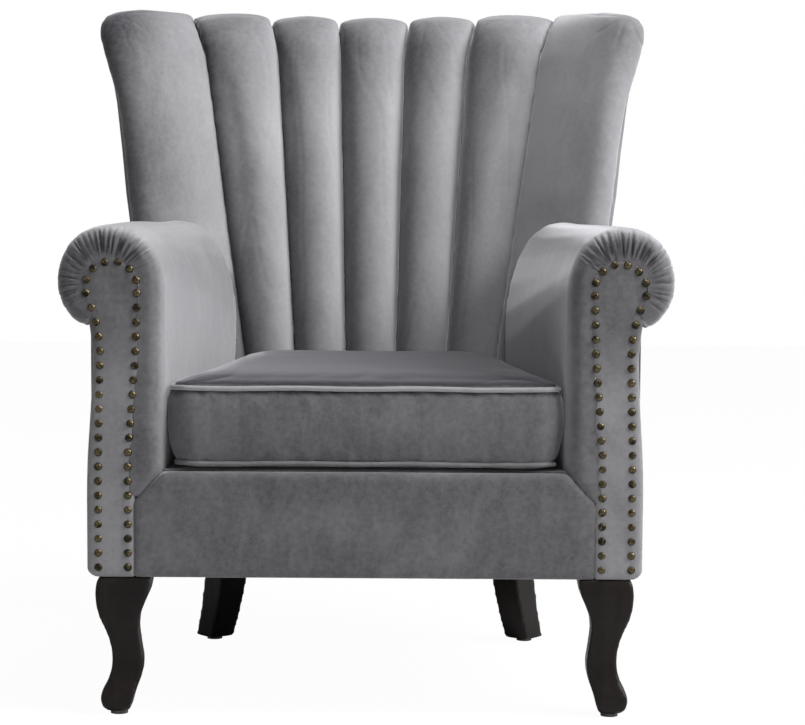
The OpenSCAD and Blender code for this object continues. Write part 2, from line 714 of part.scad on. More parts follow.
// Height above the pivot, length and edge radius of the rings over a wing's top, as shares
wing_top_shares = [[0.03, 1, 1], [0.4, 1, 1], [0.68, 0.98, 0.9], [0.86, 0.9, 0.72], [0.96, 0.76, 0.5],
    [1, 0.6, 0.3]];
function wing_low_ring(z, e) = let (
        d = wing_seam(z) + [gap, 0],
        y = pad_back(z),
        x = wing_inner_x(z),
        n = wing_arc + 1
    ) [
        [d[0], d[1], z],
        each [for (i = [1:wing_face_points]) let (q = d + (e - d) * i / (wing_face_points + 1))
            [q[0], q[1], z]],
        each [for (i = [0:n - 1]) let (q = [mix(e[0], e[0] + wing_low_x / 6, sin(180 * i / (n - 1))),
            mix(e[1], y - wing_low_x, i / (n - 1))]) [q[0], q[1], z]],
        [x + wing_low_x / 2, y, z],
        [x, y, z],
        [mix(d[0], x, 0.5) + gap / 2, mix(d[1], y, 0.5), z]
    ];

// Board inside a wing, and the slanting place where it stands
wing_board_turn = 47;
wing_board_lean = 12.5;
wing_board_w = 112;
wing_board_z0 = arm_h + panel_t;
wing_board_h = (wing_h - arm_h) * 0.84;
module wing_board_place() {
    d = wing_seam(arm_h);
    e = wing_edge(arm_h);
    m = (d + e) / 2;
    translate([m[0], m[1], arm_h]) rotate([0, 0, -wing_board_turn])
        rotate([-wing_board_lean, 0, 0]) translate([0, wing_edge_r * 1.2, 0]) children();
}
module wing_board_shape(grow) {
    w = wing_board_w / 2;
    r = wing_edge_r;
    wing_board_place() translate([0, wing_board_t / 2 + grow, 0]) rotate([90, 0, 0])
        linear_extrude(wing_board_t + 2 * grow) polygon([
            [-w - grow, panel_t - grow],
            [w + grow, panel_t - grow],
            [w + grow, wing_board_h - 2 * r],
            [w - r, wing_board_h + grow],
            [-w - grow, wing_board_h + grow]
        ]);
}
module wing_board(side) {
    color(timber) both_sides(side) difference() {
        wing_board_shape(0);
        wing_rail_shape(gap);
    }
}
// Rail from the back post out to the wing board, part of the post's node
wing_rail_z = arm_h + (wing_h - arm_h) * 0.55;
module wing_rail_shape(grow) {
    y = post_front(wing_rail_z) + over;
    x = post_x(wing_rail_z);
    translate([0, 0, wing_rail_z - grow]) linear_extrude(rail_t + 2 * grow) polygon([
        [x - back_post_t + grow + over, y],
        [x - back_post_t * 0.2, wing_face_y(x, wing_rail_z) + wing_edge_r * 3 - grow],
        [x + back_post_t * 0.8 + grow, wing_face_y(x + back_post_t, wing_rail_z) + wing_edge_r * 3 - grow],
        [x - over + grow, y]
    ]);
}
module wing_pad(side) {
    color(velvet) both_sides(side) difference() {
        wing_skin();
        wing_board_shape(gap);
        wing_rail_shape(gap);
    }
}

// Outer fabric panels on their lining boards

module outside_back() {
    w0 = base_rear_w / 2;
    w1 = outside_back_top_w / 2;
    h = outside_back_z - base_z;
    color(velvet_dark) skin([for (z = [base_z, outside_back_z]) let (
            y = back_y(z), x = z == base_z ? w0 : w1
        ) [[-x, y - panel_t, z], [x, y - panel_t, z], [x, y, z], [-x, y, z]]]);
}

outside_arm_top = roll_z + roll_r * sin(roll_end_angle) - gap * 4;
module outside_arm(side) {
    soft = panel_t * 0.8;
    color(velvet_dark) both_sides(side) skin([for (z = [base_z, outside_arm_top]) let (
            rear = back_y(z) - panel_t - gap
        ) [
            [base_half(front_y) - panel_t, front_y + over, z],
            [base_half(front_y) - soft, front_y + over, z],
            [base_half(front_y) - soft * 0.3, front_y + over + soft * 0.3, z],
            [base_half(front_y), front_y + over + soft, z],
            [base_half(rear), rear, z],
            [base_half(rear) - panel_t, rear, z],
            [base_half(rail_y) - panel_t + gap / 3, rail_y, z]
        ]]);
}

wing_levels = [arm_h - roll_r * 0.75, arm_h, wing_z(1), wing_z(2), wing_z(3), roll_pivot_z - over];
// Ring of the outside wing panel at height z, between its foremost point a and its rear point b
function wing_panel_ring(z, a, b) = let (n = [a[1] - b[1], b[0] - a[0]] / norm(b - a), t = panel_t - gap) [
    [a[0], a[1], z], [a[0] - n[0] * t, a[1] - n[1] * t, z], [b[0] - n[0] * t, b[1], z], [b[0], b[1], z]
];
wing_cap_levels = [for (i = [0, 1]) mix(roll_pivot_z, wing_h, wing_top_shares[i][0])];
module outside_wing(side) {
    low_z = outside_arm_top + gap;
    low_y = arm_end(arm_points - 1, false) + 2 * over;
    low_rear = back_y(low_z) - panel_t - gap;
    color(velvet_dark) both_sides(side) skin(concat(
        [wing_panel_ring(low_z, [base_half(low_y) - panel_t, low_y],
            [base_half(low_rear) - panel_t, low_rear])],
        [for (z = concat(wing_levels, wing_cap_levels, [outside_back_z - gap]))
            let (w = wing_side(z, wing_edge(z), wing_edge_r))
            wing_panel_ring(z, w[0], w[1])]
    ));
}

module back_webbing() {
    count = 6;
    w = 50;
    t = webbing_t;
    z0 = border_top + rail_h * 1.6;
    pitch = (back_post_top_z - z0 - w) / (count - 1);
    color([0.75, 0.68, 0.5]) for (i = [0:count - 1]) let (z = z0 + i * pitch, x = post_x(z) - over) {
        translate([0, post_front(z), z]) rotate([-recline, 0, 0]) translate([-x, -t - gap / 2, 0])
            cube([2 * x, t, w]);
    }
}

// Loose seat cushion

cushion_z0 = deck_top + gap;
cushion_low_welt_z = cushion_z0 + piping_d * 0.8;
cushion_front_y = front_y + piping_d;
cushion_corner = 30;
cushion_draw = 4;
cushion_side_n = 6;
cushion_corner_n = 4;
// Point of the cushion's outline at turn of one of its four corners, drawn in by d
cushion_rear_y = cushion_front_y + cushion_d;
cushion_corners = [
    [cushion_front_w / 2, cushion_front_y, -90],
    [cushion_rear_w / 2, cushion_rear_y, 0],
    [-cushion_rear_w / 2, cushion_rear_y, 90],
    [-cushion_front_w / 2, cushion_front_y, 180]
];
// Outline drawn in by d, with corners of radius r and sides that bow inwards between them
function cushion_outline(d, r) = [
    for (k = [0:3]) let (
        c = cushion_corners[k],
        n = cushion_corners[(k + 1) % 4],
        sx = sign(c[0]), sy = k == 0 || k == 3 ? -1 : 1,
        nx = sign(n[0]), ny = k == 3 || k == 2 ? -1 : 1,
        m = [c[0] - sx * (d + r), c[1] - sy * (d + r)],
        next = [n[0] - nx * (d + r), n[1] - ny * (d + r)],
        a = m + r * [cos(c[2] + 90), sin(c[2] + 90)],
        b = next + r * [cos(c[2] + 90), sin(c[2] + 90)],
        out = [cos(c[2] + 90), sin(c[2] + 90)]
    ) each concat(
        [for (i = [0:cushion_corner_n - 1]) let (turn = c[2] + 90 * i / cushion_corner_n)
            m + r * [cos(turn), sin(turn)]],
        [for (i = [0:cushion_side_n - 1]) let (t = i / cushion_side_n)
            a + (b - a) * t - out * cushion_draw * sin(180 * t)]
    )
];
// Height share and inset share of the cushion's crown rings above the top piping
crown_shares = [[0.3, 0.05], [0.58, 0.14], [0.8, 0.3], [0.94, 0.52], [1, 0.78]];
cushion_belly = 3;
module cushion_form() {
    r = cushion_corner;
    half = cushion_rear_w / 2;
    low = cushion_low_welt_z - cushion_z0;
    flat = piping_d / 2;
    level = function(z, d) [for (p = cushion_outline(d, max(r - d, r / 3))) [p[0], p[1], z]];
    rise = cushion_welt_z - cushion_low_welt_z;
    skin(concat(
        [level(cushion_z0, half * 0.3), level(cushion_z0 + low * 0.4, half * 0.06)],
        [level(cushion_low_welt_z - flat, flat), level(cushion_low_welt_z + flat, flat)],
        [for (t = [0.25, 0.5, 0.75]) level(cushion_low_welt_z + rise * t,
            flat - cushion_belly * sin(180 * t))],
        [level(cushion_welt_z - flat, flat), level(cushion_welt_z + flat, flat)],
        [for (s = crown_shares) level(cushion_welt_z + flat + (cushion_crown - flat) * s[0],
            flat + half * s[1])]
    ));
}
cover_t = 3;
inner_inset = cushion_corner * 0.5;
module cushion_block(d) {
    z0 = cushion_low_welt_z + cover_t;
    translate([0, 0, z0 + d]) linear_extrude(cushion_welt_z - z0 - 2 * d) polygon([
        [cushion_front_w / 2 - inner_inset - d, cushion_front_y + inner_inset + d],
        [cushion_rear_w / 2 - inner_inset - d, cushion_rear_y - inner_inset - d],
        [inner_inset + d - cushion_rear_w / 2, cushion_rear_y - inner_inset - d],
        [inner_inset + d - cushion_front_w / 2, cushion_front_y + inner_inset + d]
    ]);
}
// Middle height of the zip
zip_z = (cushion_welt_z + cushion_low_welt_z) / 2;
zip_t = 1.6;
zip_y = cushion_rear_y - cushion_draw - piping_d / 2;
module cushion_cover() {
    color(velvet) difference() {
        cushion_form();
        cushion_block(0);
        translate([-zip_l / 2 - gap, zip_y - zip_t - gap, zip_z - zip_w / 2 - gap])
            cube([zip_l + 2 * gap, cushion_draw * 3, zip_w + 2 * gap]);
    }
}
module cushion_core() { color([0.95, 0.9, 0.7]) cushion_block(gap); }

// Piping swept round the cushion at height z
module piping(z) {
    line = cushion_outline(-piping_d * 0.05 - gap, cushion_corner);
    n = len(line);
    sides = 6;
    points = [for (i = [0:n - 1]) let (
            p = line[i], u = line[(i + 1) % n] - line[(i + n - 1) % n], o = [u[1], -u[0]] / norm(u)
        ) each [for (k = [0:sides - 1]) let (turn = 360 * (k + 0.5) / sides,
            q = p + o * piping_d / 2 * cos(turn)) [q[0], q[1], z + piping_d / 2 * sin(turn)]]];
    faces = [for (i = [0:n - 1]) for (k = [0:sides - 1]) let (
            a = i * sides + k, b = i * sides + (k + 1) % sides,
            c = ((i + 1) % n) * sides + (k + 1) % sides, d = ((i + 1) % n) * sides + k
        ) each [[a, c, d], [a, b, c]]];
    polyhedron(points = points, faces = faces, convexity = 6);
}
module cushion_top_piping() { color(velvet) difference() { piping(cushion_welt_z); cushion_form(); } }
module cushion_bottom_piping() {
    color(velvet) difference() { piping(cushion_low_welt_z); cushion_form(); }
}

// Zip tape with its raised teeth, and the slider that runs on them
teeth_w = 6;
teeth_h = 2;
slider_l = 16;
slider_w = 10;
slider_h = 5;
module cushion_zip() {
    color([0.1, 0.1, 0.1]) {
        translate([-zip_l / 2, zip_y - zip_t, zip_z - zip_w / 2]) cube([zip_l, zip_t, zip_w]);
        translate([-zip_l / 2, zip_y, zip_z - teeth_w / 2]) cube([zip_l, teeth_h, teeth_w]);
        for (end = [-1, 1])
            translate([end * (zip_l / 2 - slider_h) - slider_h / 2, zip_y, zip_z - slider_w / 2])
            cube([slider_h, teeth_h + slider_h / 2, slider_w]);
    }
}
module zip_slider() {
    x = slider_l / 2 - zip_l / 2 + 2 * slider_h;
    pull_t = 1.5;
    color(steel) translate([x, zip_y + gap, zip_z]) {
        difference() {
            translate([-slider_l / 2, 0, -slider_w / 2]) cube([slider_l, slider_h, slider_w]);
            translate([-slider_l / 2 - over, -over, -teeth_w / 2 - gap])
                cube([slider_l + 2 * over, teeth_h + over, teeth_w + 2 * gap]);
        }
        translate([-slider_l / 2, slider_h, -slider_w / 4]) cube([slider_l * 1.8, pull_t, slider_w / 2]);
    }
}

bolt_depth = 30;

// Legs. A front leg is cut to the same curve from two sides.

// Outline of a front leg, from the top down: height share, place of the outer edge as a share of
// the leg's height from the top's outer edge, and width as a share of the top's width
leg_rise_shares = [1, 0.92, 0.85, 0.77, 0.68, 0.6, 0.52, 0.44, 0.36, 0.29, 0.22, 0.17, 0.12, 0.08, 0.03, 0];
leg_out_shares = [0, 0.02, 0.026, 0.02, 0, -0.033, -0.061, -0.078, -0.083, -0.076, -0.053, -0.025,
    -0.008, -0.007, -0.025, -0.06];
// Shares of the way from the ankle's width to the top's width, then to the foot's width
leg_knee_shares = [1, 1.05, 1.01, 0.79, 0.5, 0.29, 0.18, 0.15, 0.18];
leg_toe_shares = [0.85, 1, 1.2, 1.2, 1, 0.3, -0.9];
leg_width = function(i) i < len(leg_knee_shares)
    ? mix(leg_ankle_w, leg_top_w, leg_knee_shares[i])
    : mix(leg_ankle_w, leg_foot_w, leg_toe_shares[i - len(leg_knee_shares)]);
module leg_outline() {
    h = rail_z - glide_h;
    top = base_z - gap - glide_h;
    last = len(leg_rise_shares) - 1;
    rise = [for (share = leg_rise_shares) glide_h + min(share * h, top)];
    outer = [for (i = [0:last]) [leg_out_shares[i] * h, rise[i]]];
    inner = [for (i = [last:-1:0]) [leg_out_shares[i] * h - leg_width(i), rise[i]]];
    polygon(concat([[-leg_ledge, rail_z], [-leg_ledge, rise[0]]], outer, inner, [[-leg_top_w, rail_z]]));
}
module front_leg(side) {
    x = front_leg_x + leg_top_w / 2;
    color(dark_wood) both_sides(side) difference() {
        intersection() {
            translate([x, front_leg_y + leg_top_w, 0]) rotate([90, 0, 0])
                linear_extrude(2 * leg_top_w) leg_outline();
            translate([front_leg_x - leg_top_w, front_leg_y - leg_top_w / 2, 0]) rotate([90, 0, 90])
                linear_extrude(2 * leg_top_w) mirror([1, 0]) leg_outline();
        }
        translate([front_bolt_x, front_bolt_y, rail_z - bolt_depth])
            cylinder(d = bolt_d + 2 * fit, h = bolt_depth + over);
    }
}
rear_leg_turn = 50;
module rear_leg(side) {
    h = rail_z - glide_h;
    w = rear_leg_top_w / 2;
    f = rear_leg_foot_w / 2;
    bends = 6;
    kick = function(t) rear_leg_kick * t * t;
    half = function(t) mix(w, f, t);
    color(dark_wood) both_sides(side) difference() {
        translate([rear_leg_x, rear_leg_y, glide_h]) rotate([0, 0, rear_leg_turn]) intersection() {
            translate([0, w, 0]) rotate([90, 0, 0]) linear_extrude(2 * w) polygon(concat(
                [for (i = [0:bends]) let (t = i / bends) [kick(t) + half(t), h * (1 - t)]],
                [for (i = [0:bends]) let (t = 1 - i / bends) [kick(t) - half(t), h * (1 - t)]]
            ));
            translate([-w - rear_leg_kick, 0, 0]) rotate([90, 0, 90])
                linear_extrude(2 * (w + rear_leg_kick)) polygon([[-w, h], [w, h], [f, 0], [-f, 0]]);
        }
        translate([rear_bolt_x, rear_bolt_y, rail_z - bolt_depth])
            cylinder(d = bolt_d + 2 * fit, h = bolt_depth + over);
    }
}

bolt_places = [[front_bolt_x, front_bolt_y], [rear_bolt_x, rear_bolt_y]];
module leg_bolts() {
    color(steel) for (side = [-1, 1]) both_sides(side) for (p = bolt_places)
        translate([p[0], p[1], rail_z - bolt_depth + over])
            cylinder(d = bolt_d, h = block_t + bolt_depth + bolt_d / 2);
}
module leg_tee_nuts() {
    z = rail_z + over;
    flange = 1.6;
    color(steel) for (side = [-1, 1]) both_sides(side) for (p = bolt_places)
        translate([p[0], p[1], 0]) difference() {
            union() {
                translate([0, 0, z]) cylinder(d = tee_d, h = block_t - over);
                translate([0, 0, rail_z + block_t]) cylinder(d = 2 * tee_d, h = flange);
            }
            translate([0, 0, z - over])
                cylinder(d = bolt_d + fit, h = block_t + flange + 2 * over);
        }
}
foot = len(leg_rise_shares) - 1;
foot_inset = leg_width(foot) / 2 - leg_out_shares[foot] * (rail_z - glide_h);
glide_places = [
    [front_leg_x + leg_top_w / 2 - foot_inset, front_leg_y - leg_top_w / 2 + foot_inset],
    [rear_leg_x + rear_leg_kick * cos(rear_leg_turn), rear_leg_y + rear_leg_kick * sin(rear_leg_turn)]
];
module leg_glides() {
    color([0.2, 0.2, 0.2]) for (side = [-1, 1]) both_sides(side) for (p = glide_places)
        translate([p[0], p[1], 0]) cylinder(d = glide_d, h = glide_h);
}
module dust_cover() {
    cut = leg_top_w * 1.1 + panel_t;
    t = over;
    y1 = back_y0 - panel_t - gap;
    color([0.1, 0.1, 0.1]) translate([0, 0, rail_z - t - gap / 3]) linear_extrude(t) polygon([
        for (side = [1, -1]) each let (line = [
            [side_face(front_y) - panel_t - cut, post_y],
            [side_face(front_y) - panel_t - cut, post_y + cut],
            [side_face(post_y + cut) - panel_t / 2, post_y + cut],
            [side_face(y1 - cut) - panel_t / 2, y1 - cut - rear_leg_top_w],
            [side_face(y1) - cut - rear_leg_top_w, y1 - cut - rear_leg_top_w],
            [side_face(y1) - cut - rear_leg_top_w, y1]
        ], last = len(line) - 1)
            [for (i = [0:last]) let (p = line[side > 0 ? i : last - i]) [side * p[0], p[1]]]
    ]);
}

front_rail();
back_rail();
side_rail(-1);  // left_side_rail
side_rail(1);  // right_side_rail
corner_blocks();
arm_post(-1);  // left_arm_post
arm_post(1);  // right_arm_post
arm_rail(-1);  // left_arm_rail
arm_rail(1);  // right_arm_rail
back_post(-1);  // left_back_post
back_post(1);  // right_back_post
back_top_rail();
back_lower_rail();
wing_board(-1);  // left_wing_board
wing_board(1);  // right_wing_board
back_webbing();
seat_springs();
spring_clips();
deck_pad();
deck_cover();
front_border();
arm_pad(-1);  // left_arm_pad
arm_pad(1);  // right_arm_pad
arm_facing(-1);  // left_arm_facing
arm_facing(1);  // right_arm_facing
arm_nails(-1);  // left_arm_nails
arm_nails(1);  // right_arm_nails
back_channel(1);  // back_channel_1
back_channel(2);  // back_channel_2
back_channel(3);  // back_channel_3
back_channel(4);  // back_channel_4
back_channel(5);  // back_channel_5
wing_pad(-1);  // left_wing_pad
wing_pad(1);  // right_wing_pad
outside_back();
outside_arm(-1);  // left_outside_arm
outside_arm(1);  // right_outside_arm
outside_wing(-1);  // left_outside_wing
outside_wing(1);  // right_outside_wing
cushion_cover();
cushion_core();
cushion_top_piping();
cushion_bottom_piping();
cushion_zip();
zip_slider();
front_leg(-1);  // front_left_leg
front_leg(1);  // front_right_leg
rear_leg(-1);  // rear_left_leg
rear_leg(1);  // rear_right_leg
leg_bolts();
leg_tee_nuts();
leg_glides();
dust_cover();
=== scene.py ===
"""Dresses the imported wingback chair: velvet padding, piping, nails, legs, studio and camera."""

import json
import logging
import math
from collections.abc import Callable, Iterable, Iterator, Sequence
from contextlib import contextmanager
from dataclasses import dataclass, field
from enum import Enum

import bmesh
import bpy
import numpy as np
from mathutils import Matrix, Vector, noise
from mathutils.kdtree import KDTree

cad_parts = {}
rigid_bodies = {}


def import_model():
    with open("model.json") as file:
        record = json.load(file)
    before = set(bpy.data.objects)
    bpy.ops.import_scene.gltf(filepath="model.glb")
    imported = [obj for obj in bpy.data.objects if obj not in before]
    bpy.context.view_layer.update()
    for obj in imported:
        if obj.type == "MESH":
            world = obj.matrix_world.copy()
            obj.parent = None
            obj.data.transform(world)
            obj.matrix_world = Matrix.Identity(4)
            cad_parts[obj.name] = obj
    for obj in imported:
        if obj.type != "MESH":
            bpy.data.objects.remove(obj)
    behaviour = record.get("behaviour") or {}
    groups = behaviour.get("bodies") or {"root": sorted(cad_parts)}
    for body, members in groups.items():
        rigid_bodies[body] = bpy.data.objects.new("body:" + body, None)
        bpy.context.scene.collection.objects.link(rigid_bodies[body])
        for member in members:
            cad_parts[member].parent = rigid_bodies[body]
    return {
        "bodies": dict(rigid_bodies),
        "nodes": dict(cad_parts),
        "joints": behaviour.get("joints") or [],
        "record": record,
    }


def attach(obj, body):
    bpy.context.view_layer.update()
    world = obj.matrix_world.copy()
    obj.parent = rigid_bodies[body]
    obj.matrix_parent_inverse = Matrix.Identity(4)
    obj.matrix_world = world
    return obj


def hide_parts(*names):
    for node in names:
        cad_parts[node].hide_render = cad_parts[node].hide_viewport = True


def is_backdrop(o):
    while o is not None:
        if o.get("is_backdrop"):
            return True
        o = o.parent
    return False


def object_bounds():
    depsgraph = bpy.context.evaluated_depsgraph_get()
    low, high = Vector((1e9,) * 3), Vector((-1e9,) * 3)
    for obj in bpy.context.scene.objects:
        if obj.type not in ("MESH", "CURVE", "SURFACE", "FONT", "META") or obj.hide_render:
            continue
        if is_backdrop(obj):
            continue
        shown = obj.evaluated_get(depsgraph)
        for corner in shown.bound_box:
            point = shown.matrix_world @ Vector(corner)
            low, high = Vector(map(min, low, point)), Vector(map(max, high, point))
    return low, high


LOG = logging.getLogger("chair")
WELD = 0.00002
TINY = 1e-9
CLOTH_FRAMES = 20
CLOTH_MASS = 0.3
CLOTH_STIFFNESS = 9.0
CLOTH_BENDING = 0.4
CLOUD_ROUGHNESS = 0.9
CLOUD_FINENESS = 2.1
FLAT_ANGLE = math.radians(1.5)
EDGE_ANGLE = math.radians(35.0)
Point = tuple[float, float, float]
Span = tuple[float, float]
Piece = bpy.types.Object
Rows = np.ndarray
Values = np.ndarray
Shift = Callable[[Rows, Rows], Values]


class Side(Enum):
    """A side of the chair, as a viewer in front sees it."""

    LEFT = -1
    RIGHT = 1

    @property
    def word(self) -> str:
        """The word that the side's node names start with."""
        return self.name.lower()


# Painted light on each wing's inner side, and how much painted shade darkens its outer edge, set apart for
# each side.
WING_PAINTED_LIGHT = {Side.LEFT: (0.85, 1.15), Side.RIGHT: (1.25, 0.75)}


def add_node(tree: bpy.types.NodeTree, kind: str, settings: dict, inputs: dict) -> bpy.types.Node:
    """Adds a node to a tree.

    Args:
        tree: The tree.
        kind: The node's type.
        settings: Its properties, set first.
        inputs: Values or sockets for its inputs, by name or index.

    Returns:
        The node.
    """
    made = tree.nodes.new(kind)
    for key, value in settings.items():
        setattr(made, key, value)
    for key, value in inputs.items():
        if isinstance(value, bpy.types.NodeSocket):
            tree.links.new(value, made.inputs[key])
        else:
            made.inputs[key].default_value = value
    return made


class Wire:
    """One shader value, with Python operators that add Math nodes."""

    def __init__(self, shade: "Shade", socket: bpy.types.NodeSocket) -> None:
        """Wraps a socket of a shader tree."""
        self.shade = shade
        self.socket = socket

    def _math(self, operation: str, *values: "Wire | float") -> "Wire":
        """Adds a Math node over values and returns its result."""
        return self.shade.node("ShaderNodeMath", {"operation": operation}, dict(enumerate(values)))[0]

    def __add__(self, other: "Wire | float") -> "Wire":
        """Sum."""
        return self._math("ADD", self, other)

    def __radd__(self, other: float) -> "Wire":
        """Sum, reflected."""
        return self._math("ADD", other, self)

    def __sub__(self, other: "Wire | float") -> "Wire":
        """Difference."""
        return self._math("SUBTRACT", self, other)

    def __mul__(self, other: "Wire | float") -> "Wire":
        """Product."""
        return self._math("MULTIPLY", self, other)

    def limit(self, low: float, high: float, to_low: float = 0.0, to_high: float = 1.0) -> "Wire":
        """Maps low..high smoothly to to_low..to_high and clamps.

        Args:
            low: The value that gives to_low.
            high: The value that gives to_high.
            to_low: Result at and below low.
            to_high: Result at and above high.

        Returns:
            The mapped value.
        """
        settings = {"interpolation_type": "SMOOTHSTEP"}
        inputs = {"Value": self, "From Min": low, "From Max": high, "To Min": to_low, "To Max": to_high}
        return self.shade.node("ShaderNodeMapRange", settings, inputs)["Result"]


class Outputs:
    """The output sockets of one node, as wires."""

    def __init__(self, shade: "Shade", node: bpy.types.Node) -> None:
        """Keeps the node and its tree."""
        self.shade = shade
        self.node = node

    def __getitem__(self, key: int | str) -> Wire:
        """The output with that name or index."""
        return Wire(self.shade, self.node.outputs[key])


class Shade:
    """A material under construction: its tree, its shader and its object coordinates."""

    def __init__(self, name: str) -> None:
        """Makes an empty material with one principled shader.

        Args:
            name: The material's name.
        """
        self.material = bpy.data.materials.new(name)
        self.material.use_nodes = True
        self.tree = self.material.node_tree
        self.shader = self.tree.nodes["Principled BSDF"]
        self.place = self.node("ShaderNodeTexCoord", {}, {})["Object"]

    def node(self, kind: str, settings: dict, inputs: dict) -> Outputs:
        """Adds a node, whose inputs may be wires, and returns its outputs."""
        plain = {key: value.socket if isinstance(value, Wire) else value for key, value in inputs.items()}
        return Outputs(self, add_node(self.tree, kind, settings, plain))

    def ramp(self, factor: Wire, stops: Sequence[tuple[float, Point]]) -> Wire:
        """A colour ramp over factor with the stops given as (place, colour).

        Args:
            factor: The value that picks the colour.
            stops: Each stop's place from 0 to 1 and its colour.

        Returns:
            The colour.
        """
        made = self.node("ShaderNodeValToRGB", {}, {"Fac": factor})
        elements = made.node.color_ramp.elements
        while len(elements) < len(stops):
            elements.new(0.5)
        for element, (place, colour) in zip(elements, stops):
            element.position = place
            element.color = (*colour, 1.0)
        return made["Color"]

    def stretched(self, scale: Point) -> Wire:
        """Object coordinates with a scale for each axis."""
        return self.node("ShaderNodeMapping", {}, {"Vector": self.place, "Scale": scale})["Vector"]

    def cloud(self, scale: float, detail: float = 3.0, where: Wire | None = None, warp: float = 0.0) -> Wire:
        """Noise from 0 to 1 at a scale in features a metre."""
        inputs = {"Vector": where or self.place, "Scale": scale, "Detail": detail, "Distortion": warp}
        return self.node("ShaderNodeTexNoise", {}, inputs)["Fac"]

    def mixed(self, factor: Wire, first: Point, second: Point) -> Wire:
        """A mix of two colours, all of the second where factor is 1."""
        inputs = {0: factor, 6: (*first, 1.0), 7: (*second, 1.0)}
        return self.node("ShaderNodeMix", {"data_type": "RGBA"}, inputs)[2]

    def constant(self, **values: float | tuple) -> None:
        """Sets sockets of the shader that are the same all over, with _ for a blank in a name."""
        for key, value in values.items():
            self.shader.inputs[key.replace("_", " ")].default_value = value

    def feed(self, **wires: Wire) -> None:
        """Links wires to the shader's sockets, with _ for a blank in a name."""
        for key, wire in wires.items():
            self.tree.links.new(wire.socket, self.shader.inputs[key.replace("_", " ")])

    def bump(self, height: Wire, strength: float, depth: float) -> None:
        """Feeds a bump of that height, in metres at full height, to the shader's normal."""
        inputs = {"Height": height, "Strength": strength, "Distance": depth}
        self.feed(Normal=self.node("ShaderNodeBump", {}, inputs)["Normal"])


@dataclass(frozen=True)
class Finish:
    """A material of the chair, named after the slot of the record that it dresses."""

    name: str

    def paint(self, shade: Shade) -> None:
        """Fills in the material's shader."""
        raise NotImplementedError

    def build(self) -> bpy.types.Material:
        """Makes the material.

        Returns:
            The material.
        """
        shade = Shade(self.name)
        self.paint(shade)
        return shade.material


@dataclass(frozen=True)
class Velvet(Finish):
    """Short-pile velvet: paler in soft random patches, with painted light and shade that each piece gives
    its points.
    """

    name: str = "velvet"
    # Darkest tone, reached where painted shade pulls the tone down, as on the cushion's top.
    painted_shade_tone: Point = (0.026, 0.025, 0.03)
    deep: Point = (0.076, 0.0745, 0.079)
    middle: Point = (0.163, 0.161, 0.169)
    pale: Point = (0.262, 0.258, 0.268)
    stops: tuple[float, ...] = (0.0, 0.2, 0.56, 1.0)
    sheen: float = 0.6
    sheen_roughness: float = 0.36
    sheen_tint: Point = (0.88, 0.87, 0.91)
    gloss: float = 0.12
    roughness: Span = (0.97, 0.8)
    patch_scale: float = 5.5
    stroke_scale: Point = (38.0, 38.0, 17.0)
    pile_scale: float = 1100.0
    mottle_scale: float = 150.0
    patch_share: float = 0.11
    mottle_share: float = 0.22
    painted_light_share: float = 0.5
    fibre_share: float = 0.3
    rest_tone: float = 0.16
    pile_height: float = 0.0007

    def paint(self, shade: Shade) -> None:
        """Tones the pile by slow patches and strokes, and by the painted light and shade that the pieces
        store on their points.

        Args:
            shade: The material under construction.
        """
        patches = shade.cloud(self.patch_scale, 4.0, warp=1.1).limit(0.2, 0.8)
        strokes = shade.cloud(1.0, 5.0, shade.stretched(self.stroke_scale), 0.8)
        fibres = shade.cloud(self.pile_scale, 2.0)
        mottle = shade.cloud(self.mottle_scale, 3.0)
        # The points' painted light and shade, set piece by piece.
        painted_light = shade.node("ShaderNodeAttribute", {"attribute_name": "nap"}, {})["Fac"]
        still = patches * self.patch_share + strokes.limit(0.2, 0.82) * self.patch_share
        nap = still + mottle * self.mottle_share + painted_light * self.painted_light_share + self.rest_tone
        tones = (self.painted_shade_tone, self.deep, self.middle, self.pale)
        colour = shade.ramp(nap + (fibres - 0.5) * self.fibre_share, list(zip(self.stops, tones)))
        shade.feed(Base_Color=colour, Roughness=nap.limit(0.0, 1.0, *self.roughness))
        shade.constant(Sheen_Weight=self.sheen, Sheen_Roughness=self.sheen_roughness)
        shade.constant(Sheen_Tint=(*self.sheen_tint, 1.0), Specular_IOR_Level=self.gloss)
        shade.bump(fibres * 0.6 + mottle * 0.4, 0.4, self.pile_height)


@dataclass(frozen=True)
class Wood(Finish):
    """Timber with grain along one axis, stained on the legs or raw inside the frame."""

    dark: Point
    light: Point
    roughness: float
    grain_axis: int = 2
    gloss: float = 0.3
    ring_scale: Span = (34.0, 2.6)
    pore_scale: Span = (520.0, 22.0)
    wear_scale: float = 14.0
    grain_height: float = 0.0005

    def drawn_out(self, shade: Shade, scale: Span) -> Wire:
        """Object coordinates with one scale across the grain and the other along it."""
        across, along = scale
        return shade.stretched(tuple(along if axis == self.grain_axis else across for axis in range(3)))

    def paint(self, shade: Shade) -> None:
        """Lays rings and pores along the grain, and a worn gloss.

        Args:
            shade: The material under construction.
        """
        rings = shade.cloud(1.0, 5.0, self.drawn_out(shade, self.ring_scale), 1.6)
        pores = shade.cloud(1.0, 2.0, self.drawn_out(shade, self.pore_scale))
        wear = shade.cloud(self.wear_scale, 4.0).limit(0.55, 0.78)
        colour = shade.ramp(rings * 0.75 + pores * 0.25, [(0.3, self.dark), (0.7, self.light)])
        shade.feed(Base_Color=colour, Roughness=self.roughness + wear * 0.16 + pores * 0.05)
        shade.constant(Specular_IOR_Level=self.gloss)
        shade.bump(pores * 0.5 + rings * 0.5, 0.25, self.grain_height)


